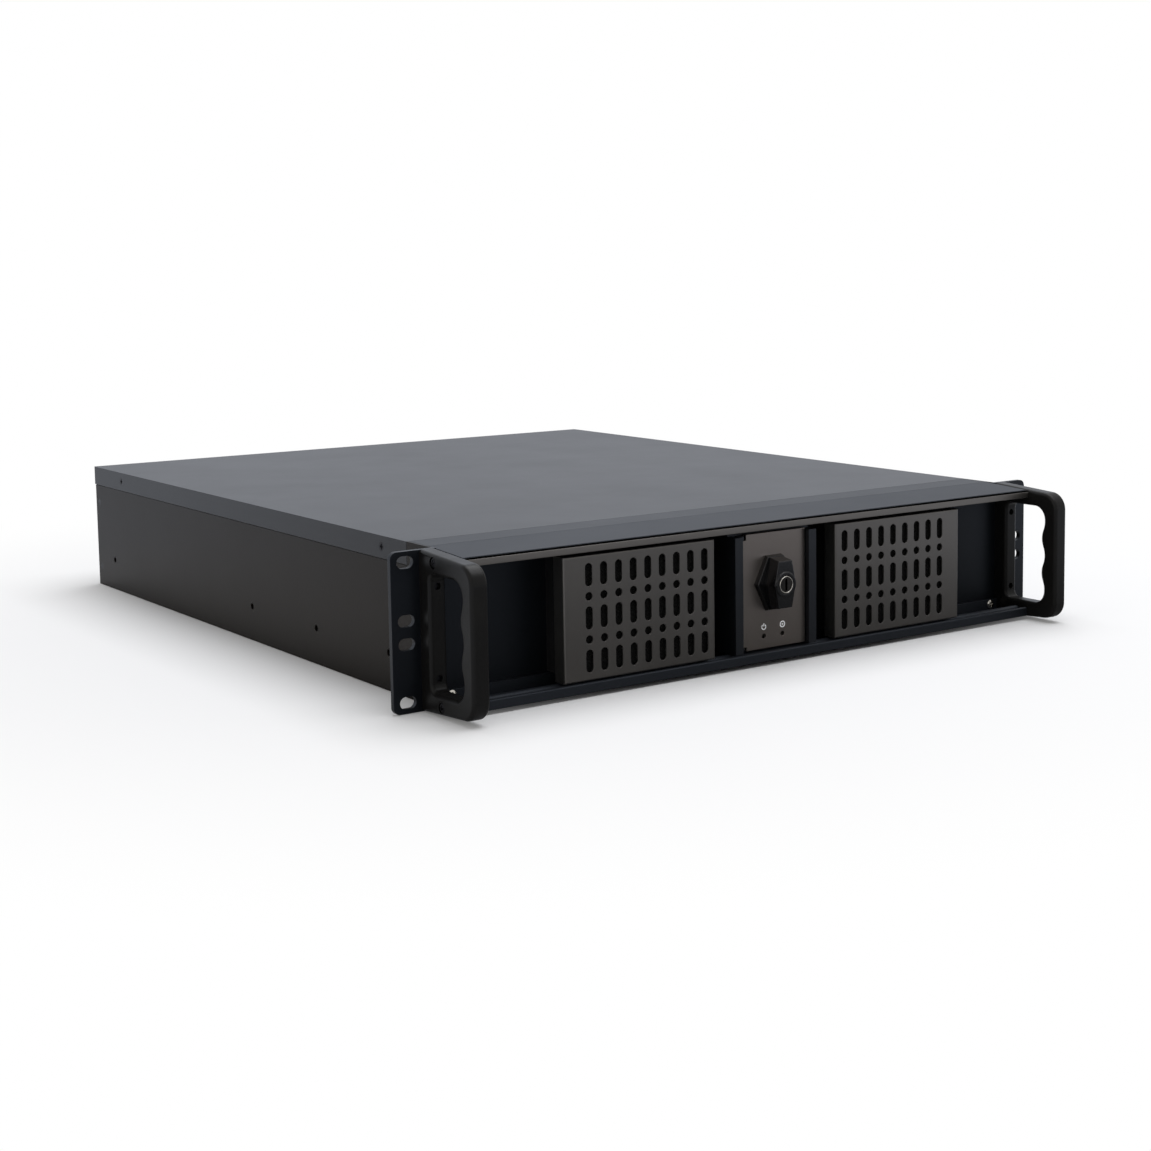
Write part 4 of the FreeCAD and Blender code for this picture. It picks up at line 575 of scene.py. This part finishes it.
# %% Fan rotor
hub_radius, tip_radius, blade_count = 0.018, 0.0366, 7
root_chord, chord_gain, blade_half, blade_bow = 0.0095, 0.0035, 0.0007, 0.0022
root_pitch, pitch_fall, sweep = 46, 20, 0.16
hub_tail, hub_round, shaft_radius, cup_radius = 0.0043, 0.0005, 0.0015, 0.0165
nose_radius_mm = [0, 6, 6.4, 6.8, 15.0, 16.4, 17.4, 17.9, 18.0]
nose_depth_mm = [0.4, 0.4, 0.0, 0.4, 0.4, 0.7, 1.6, 2.8, 4.0]


def fan_blade(middle, hub, tip, turn):
    """Half chord c times cos t and half thickness h times sin t, with t around the loop.

    The middle line is bowed by b (1 - (chord/13 mm)^2), then turned by the pitch angle and
    wrapped around the axis at radius r, which runs from hub to tip.
    """
    span = np.concatenate([np.linspace(hub - 0.001, tip, 16), [tip]])
    t = np.linspace(0, 2 * np.pi, 40, endpoint=False)
    r, loop = np.meshgrid(span, t, indexing="ij")
    share = (r - hub) / (tip - hub)
    chord = (root_chord + chord_gain * share) * np.cos(loop)
    thick = blade_half * np.sin(loop) * (1 - 0.25 * share)
    thick[-1] = 0
    camber = blade_bow * (1 - (chord / 0.013) ** 2)
    pitch = np.radians(root_pitch - pitch_fall * share)
    along = chord * np.cos(pitch) - (thick + camber) * np.sin(pitch)
    depth = chord * np.sin(pitch) + (thick + camber) * np.cos(pitch)
    angle = turn + along / r + sweep * share
    grid = np.stack([middle[0] + r * np.sin(angle), middle[1] + depth,
                     middle[2] + r * np.cos(angle)], -1)
    return grid.reshape(-1, 3), grid_faces(len(span), len(t))


def fan_rotor(node, body):
    """The hub is a profile of radius and depth turned around the axis of its own fan frame."""
    low, high = (np.array(corner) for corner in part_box(node))
    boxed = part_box(node.replace("rotor", "frame"))
    middle = (np.array(boxed[0]) + np.array(boxed[1])) / 2
    front, shaft_end = low[1], high[1]
    back = shaft_end - hub_tail
    middle[1] = (front + back) / 2
    radius = np.concatenate([np.array(nose_radius_mm) / 1000,
                             [hub_radius, cup_radius, shaft_radius, shaft_radius, 0]])
    place = np.concatenate([front + np.array(nose_depth_mm) / 1000,
                            [back - hub_round, back, back, shaft_end, shaft_end]])
    angle = np.linspace(0, 2 * np.pi, 72, endpoint=False)
    grid = np.stack([middle[0] + np.outer(radius, np.sin(angle)),
                     np.repeat(place[:, None], len(angle), 1),
                     middle[2] + np.outer(radius, np.cos(angle))], -1)
    shells = [(grid.reshape(-1, 3), grid_faces(len(radius), len(angle)))]
    shells += [fan_blade(middle, hub_radius, tip_radius, 2 * np.pi * k / blade_count)
               for k in range(blade_count)]
    piece = make_piece(node + "_moulded", shells, body, fan_plastic)
    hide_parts(node)


fan_rotor("left_fan_rotor", "left_rotor")
fan_rotor("right_fan_rotor", "right_rotor")

# %% [markdown]
# ## The key cylinder's polished rim
# The face of the cylinder is dark, with a thin bright rim. The rim is a torus: a small circle
# of angle v carried around the axis by angle u.


# %% Key rim
rim_inset, rim_thick = 0.0006, 0.00025


def ring(middle, radius, thick, columns=64, rows=16):
    """A point is R + t cos v from the axis, and t sin v along it."""
    u = np.linspace(0, 2 * np.pi, columns, endpoint=False)
    v = np.linspace(0, 2 * np.pi, rows + 1)
    v, u = np.meshgrid(v, u, indexing="ij")
    reach = radius + thick * np.cos(v)
    grid = np.stack([middle[0] + reach * np.sin(u), middle[1] + thick * np.sin(v),
                     middle[2] + reach * np.cos(u)], -1)
    return grid.reshape(-1, 3), grid_faces(rows + 1, columns)


key_low, key_high = (np.array(corner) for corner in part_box("key_cylinder"))
key_middle = (key_low + key_high) / 2
key_middle[1] = key_low[1]
key_radius = (key_high[0] - key_low[0]) / 2
make_piece("key_rim", [ring(key_middle, key_radius - rim_inset, rim_thick)], "cylinder",
           nickel)

# %% [markdown]
# ## The lip of the top rail
# The front lip carries a lighter, glossier copy of the rail's anodised finish: painted light for
# the light that the lip catches. The groove between lip and shelf is painted shade, a matt black
# band over the rail's edge. The solid rail has that groove too, but on its upper face, where it
# hardly shows from a low angle. So each is laid over the rail's front as a thin band: a line in
# y and z gets a second line behind it and is carried along the rail's length.


# %% Rail groove and lip
def closed_strip(corners):
    """Four lines of points, one for each corner of the section, closed by its middle."""
    grid = np.stack(corners, 1)
    start, end = (edge * 0 + edge.mean(1, keepdims=True) for edge in (grid[:1], grid[-1:]))
    closed = np.concatenate([start, grid, end])
    return closed.reshape(-1, 3), grid_faces(len(closed), 4)


def band(outer, inner, left, right):
    """Each place of the line has a four-cornered section: two ends in x, two sides in depth."""
    return closed_strip([np.insert(line, 0, x, axis=1) for line, x in
                         ((outer, left), (outer, right), (inner, right), (inner, left))])


def nose_line(corner, radius, face):
    """The rail's edge: a quarter circle from the shelf, then a drop of the height face."""
    angle = np.radians(np.linspace(90, 180, 9))
    turn = np.stack([corner[0] + radius + radius * np.cos(angle),
                     corner[1] - radius + radius * np.sin(angle)], 1)
    return np.concatenate([turn, [turn[-1] - [0, face - radius]]])


rail_low, rail_high = (np.array(corner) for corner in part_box("top_rail"))
shelf_fall, rail_face, nose_radius, end_gap = 0.0022, 0.0046, 0.0006, 0.0001
groove_drop, lip_proud, skin = 0.0009, 0.00025, 6e-5
nose = np.array([rail_low[1], rail_high[2] - shelf_fall])
rail_ends = rail_low[0] + end_gap, rail_high[0] - end_gap
# Painted shade: a black band over the rail's rounded top edge and the top of its front.
groove_shade_line = nose_line(nose + [-skin, skin], nose_radius + skin, groove_drop + skin)
make_piece("rail_groove_painted_shade", [band(groove_shade_line, groove_shade_line + [skin, -skin], *rail_ends)], "case",
           painted_groove_shade)
# Painted light: the lip band carries the lighter, glossier copy of the rail's finish.
lip = nose_line(nose - [lip_proud, groove_drop], lip_proud, rail_face - groove_drop)
lip_back = np.stack([np.full(len(lip), nose[0] + skin), lip[:, 1]], 1)
make_piece("rail_lip_painted_light", [band(lip, lip_back, *rail_ends)], "case", lip_painted_light_coat)

# %% [markdown]
# ## Printed symbols on the door
# Two small marks are pad printed above the lamp holes: the usual sign for power and a disc
# for drive activity. Each is a flat ribbon of ink carried along an arc or a line.


# %% Symbols
ink_thick, ink_gap = 4e-5, 3e-5
icon_x, icon_z, stroke, fine_stroke = 0.0072, 0.0222, 0.0006, 0.0004


def ribbon(path, width, y):
    """Half the width goes to each side of a path of (x, z) points, square to its direction."""
    path = np.array(path, float)
    along = np.gradient(path, axis=0)
    along /= np.linalg.norm(along, axis=1)[:, None]
    side = np.stack([-along[:, 1], along[:, 0]], 1) * width / 2
    left, right, back = path + side, path - side, y + ink_thick
    return closed_strip([np.insert(edge, 1, depth, axis=1) for edge, depth in
                         ((left, y), (right, y), (right, back), (left, back))])


def arc(x, z, radius, start, end, steps=28):
    """Angles in degrees, clockwise from the top: x + r sin a, z + r cos a."""
    angle = np.radians(np.linspace(start, end, steps))
    return np.stack([x + radius * np.sin(angle), z + radius * np.cos(angle)], 1)


ink_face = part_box("centre_door")[0][1] - ink_gap
power_ring, disc_ring, disc_hub, bar_start, bar_end = 0.0015, 0.0017, 0.0004, 0.0004, 0.0022
marks = [ribbon(arc(-icon_x, icon_z, power_ring, 35, 325), stroke, ink_face),
         ribbon([(-icon_x, icon_z + bar_start), (-icon_x, icon_z + bar_end)], stroke, ink_face),
         ribbon(arc(icon_x, icon_z, disc_ring, 0, 360), 0.0007, ink_face),
         ribbon(arc(icon_x, icon_z, disc_hub, 0, 360), fine_stroke, ink_face)]
make_piece("door_symbols", marks, "door", ink, 0.0005)

# %% [markdown]
# ## Floor and light
# A pale floor curves up into a pale backdrop. Soft lamps above and to the left light the
# case at a plain level, so that a colour renders about as it is written.
#
# The paper is matt and keeps the case's shadow. Further out it turns into plain white for the
# rays that are seen, and not for the rays that light the case. The front faces are glossy
# enough to mirror the floor before them. There, for mirror rays alone, the paper is darkened
# in a soft round patch, as a black card laid out of view would do, so that the front faces
# fade towards their feet.


# %% Floor and backdrop
half_width, near_end, bend_start, bend_radius, wall_top = 9.0, -6.0, 5.0, 1.5, 6.0
floor_gap = 0.0002


def backdrop():
    """A profile of floor, quarter circle and wall, carried along X."""
    turn = np.radians(np.linspace(0, 90, 24))
    floor_y = np.concatenate([[near_end, bend_start], bend_start + bend_radius * np.sin(turn),
                              [bend_start + bend_radius]])
    floor_z = np.concatenate([[0.0, 0.0], bend_radius * (1 - np.cos(turn)), [wall_top]])
    x = np.array([-half_width, half_width])
    grid = np.stack(np.broadcast_arrays(x[None, :], floor_y[:, None],
                                        floor_z[:, None] - floor_gap), -1)
    mesh = bpy.data.meshes.new("paper_backdrop")
    mesh.from_pydata(grid.reshape(-1, 3).tolist(), [],
                     grid_faces(len(floor_y), 2, False)[:, ::-1].tolist())
    mesh.shade_smooth()
    obj = bpy.data.objects.new("paper_backdrop", mesh)
    bpy.context.scene.collection.objects.link(obj)
    return obj


def seen_rays(tree):
    """1 for camera, mirror and see-through rays, 0 for the rays that light the case."""
    ray = add_node(tree, "ShaderNodeLightPath")
    first = add_node(tree, "ShaderNodeMath", {"operation": "MAXIMUM"},
                     {0: ray.outputs["Is Camera Ray"], 1: ray.outputs["Is Transmission Ray"]})
    second = add_node(tree, "ShaderNodeMath", {"operation": "MAXIMUM"},
                      {0: first.outputs[0], 1: ray.outputs["Is Glossy Ray"]})
    return second.outputs[0]


# %% Paper
white_start, white_end = 0.25, 0.65
# Painted shade: a round patch of darker floor in front of the case, seen only in mirror rays.
mirror_shade_middle, mirror_shade_core, mirror_shade_edge, mirror_shade_share = (0.06, -0.42, 0), 0.15, 0.5, 0.85


def paper_finish():
    """Paper near the case, white light further out, and a painted shade for mirror rays in
    front.
    """
    material, tree, shader = new_material(
        "paper_white", {"Base Color": linear("#F4F4F4"), "Roughness": 0.9,
                        "Specular IOR Level": 0.1})
    place = add_node(tree, "ShaderNodeTexCoord")
    ray = add_node(tree, "ShaderNodeLightPath")
    away = add_node(tree, "ShaderNodeVectorMath", {"operation": "LENGTH"},
                    {0: place.outputs["Object"]})
    fade = add_node(tree, "ShaderNodeMapRange", {"interpolation_type": "SMOOTHSTEP"},
                    {"Value": away.outputs["Value"], "From Min": white_start,
                     "From Max": white_end})
    shown = add_node(tree, "ShaderNodeMath", {"operation": "MULTIPLY"},
                     {0: fade.outputs["Result"], 1: seen_rays(tree)})
    cool = add_node(tree, "ShaderNodeMix", {"data_type": "RGBA"},
                    {0: ray.outputs["Is Glossy Ray"], 6: (1, 1, 1, 1), 7: linear("#F0F5FF")})
    glow = add_node(tree, "ShaderNodeEmission", inputs={"Color": cool.outputs[2],
                                                        "Strength": 1.0})
    mix = add_node(tree, "ShaderNodeMixShader", inputs={0: shown.outputs[0],
                                                        1: shader.outputs[0],
                                                        2: glow.outputs[0]})
    before = add_node(tree, "ShaderNodeVectorMath", {"operation": "DISTANCE"},
                      {0: place.outputs["Object"], 1: mirror_shade_middle})
    near = add_node(tree, "ShaderNodeMapRange", {"interpolation_type": "SMOOTHSTEP"},
                    {"Value": before.outputs["Value"], "From Min": mirror_shade_core,
                     "From Max": mirror_shade_edge, "To Min": mirror_shade_share, "To Max": 0.0})
    mirrored = add_node(tree, "ShaderNodeMath", {"operation": "MULTIPLY"},
                        {0: near.outputs["Result"], 1: ray.outputs["Is Glossy Ray"]})
    shade = add_node(tree, "ShaderNodeEmission", inputs={"Color": (0, 0, 0, 1)})
    mirror_shade_mix = add_node(tree, "ShaderNodeMixShader", inputs={0: mirrored.outputs[0],
                                                          1: mix.outputs[0],
                                                          2: shade.outputs[0]})
    output = next(node for node in tree.nodes if node.type == "OUTPUT_MATERIAL")
    tree.links.new(mirror_shade_mix.outputs[0], output.inputs["Surface"])
    return material


paper = backdrop()
paper.data.materials.append(paper_finish())
print("backdrop width:", round(paper.dimensions.x, 1), "m")


# %% World and lamps
def world_light(lighting, seen):
    """An even white room: one strength lights the case, the other is for rays that are seen."""
    world = bpy.data.worlds.new("studio")
    bpy.context.scene.world = world
    world.use_nodes = True
    tree = world.node_tree
    tree.nodes.clear()
    level = add_node(tree, "ShaderNodeMapRange",
                     inputs={"Value": seen_rays(tree), "To Min": lighting, "To Max": seen})
    sky = add_node(tree, "ShaderNodeBackground", inputs={"Color": (1, 1, 1, 1),
                                                         "Strength": level.outputs["Result"]})
    add_node(tree, "ShaderNodeOutputWorld", inputs={"Surface": sky.outputs[0]})


def soft_lamp(name, place, aim, size, watts, tint):
    """A rectangular lamp in metres and watts that faces the place it is aimed at."""
    lamp = bpy.data.lights.new(name, "AREA")
    lamp.shape, lamp.size, lamp.size_y, lamp.energy = "RECTANGLE", size[0], size[1], watts
    lamp.color = linear(tint)[:3]
    obj = bpy.data.objects.new(name, lamp)
    way = np.array(aim, float) - np.array(place, float)
    obj.rotation_euler = Vector(way).to_track_quat("-Z", "Y").to_euler()
    obj.location = place
    bpy.context.scene.collection.objects.link(obj)


case_middle = (0, 0, 0.05)
world_light(lighting=0.3, seen=0.8)
soft_lamp("top_box", (0.5, 0.0, 2.2), case_middle, size=(2.6, 2.0), watts=54, tint="#FBFCFF")
soft_lamp("left_box", (-2.4, -0.6, 1.2), case_middle, size=(1.2, 1.0), watts=4, tint="#FFF6EC")

# %% [markdown]
# ## Camera
# A longer lens, a little above the case and to its left, looks along the front bezel.


# %% Camera
sensor_mm = 36


def place_camera(place, yaw, pitch, roll, lens, shift):
    """Forward, right and up come from yaw and pitch, then roll turns right and up."""
    forward = np.array([np.sin(yaw) * np.cos(pitch), np.cos(yaw) * np.cos(pitch),
                        -np.sin(pitch)])
    right = np.array([np.cos(yaw), -np.sin(yaw), 0])
    up = np.cross(right, forward)
    turned = np.cos(roll) * right + np.sin(roll) * up
    raised = -np.sin(roll) * right + np.cos(roll) * up
    camera = bpy.data.cameras.new("camera")
    camera.lens, camera.sensor_width = lens, sensor_mm
    camera.shift_x, camera.shift_y = shift
    obj = bpy.data.objects.new("camera", camera)
    matrix = Matrix(np.stack([turned, raised, -forward], 1).tolist()).to_4x4()
    matrix.translation = place
    obj.matrix_world = matrix
    bpy.context.scene.collection.objects.link(obj)
    bpy.context.scene.camera = obj
    print("lens:", camera.lens, "shift:", shift)


place_camera((-0.71986, -1.12737, 0.24866), yaw=0.6461, pitch=0.1117, roll=-0.0094, lens=60.27,
             shift=(-0.1, -0.1))
bpy.context.scene.view_settings.view_transform = "Standard"
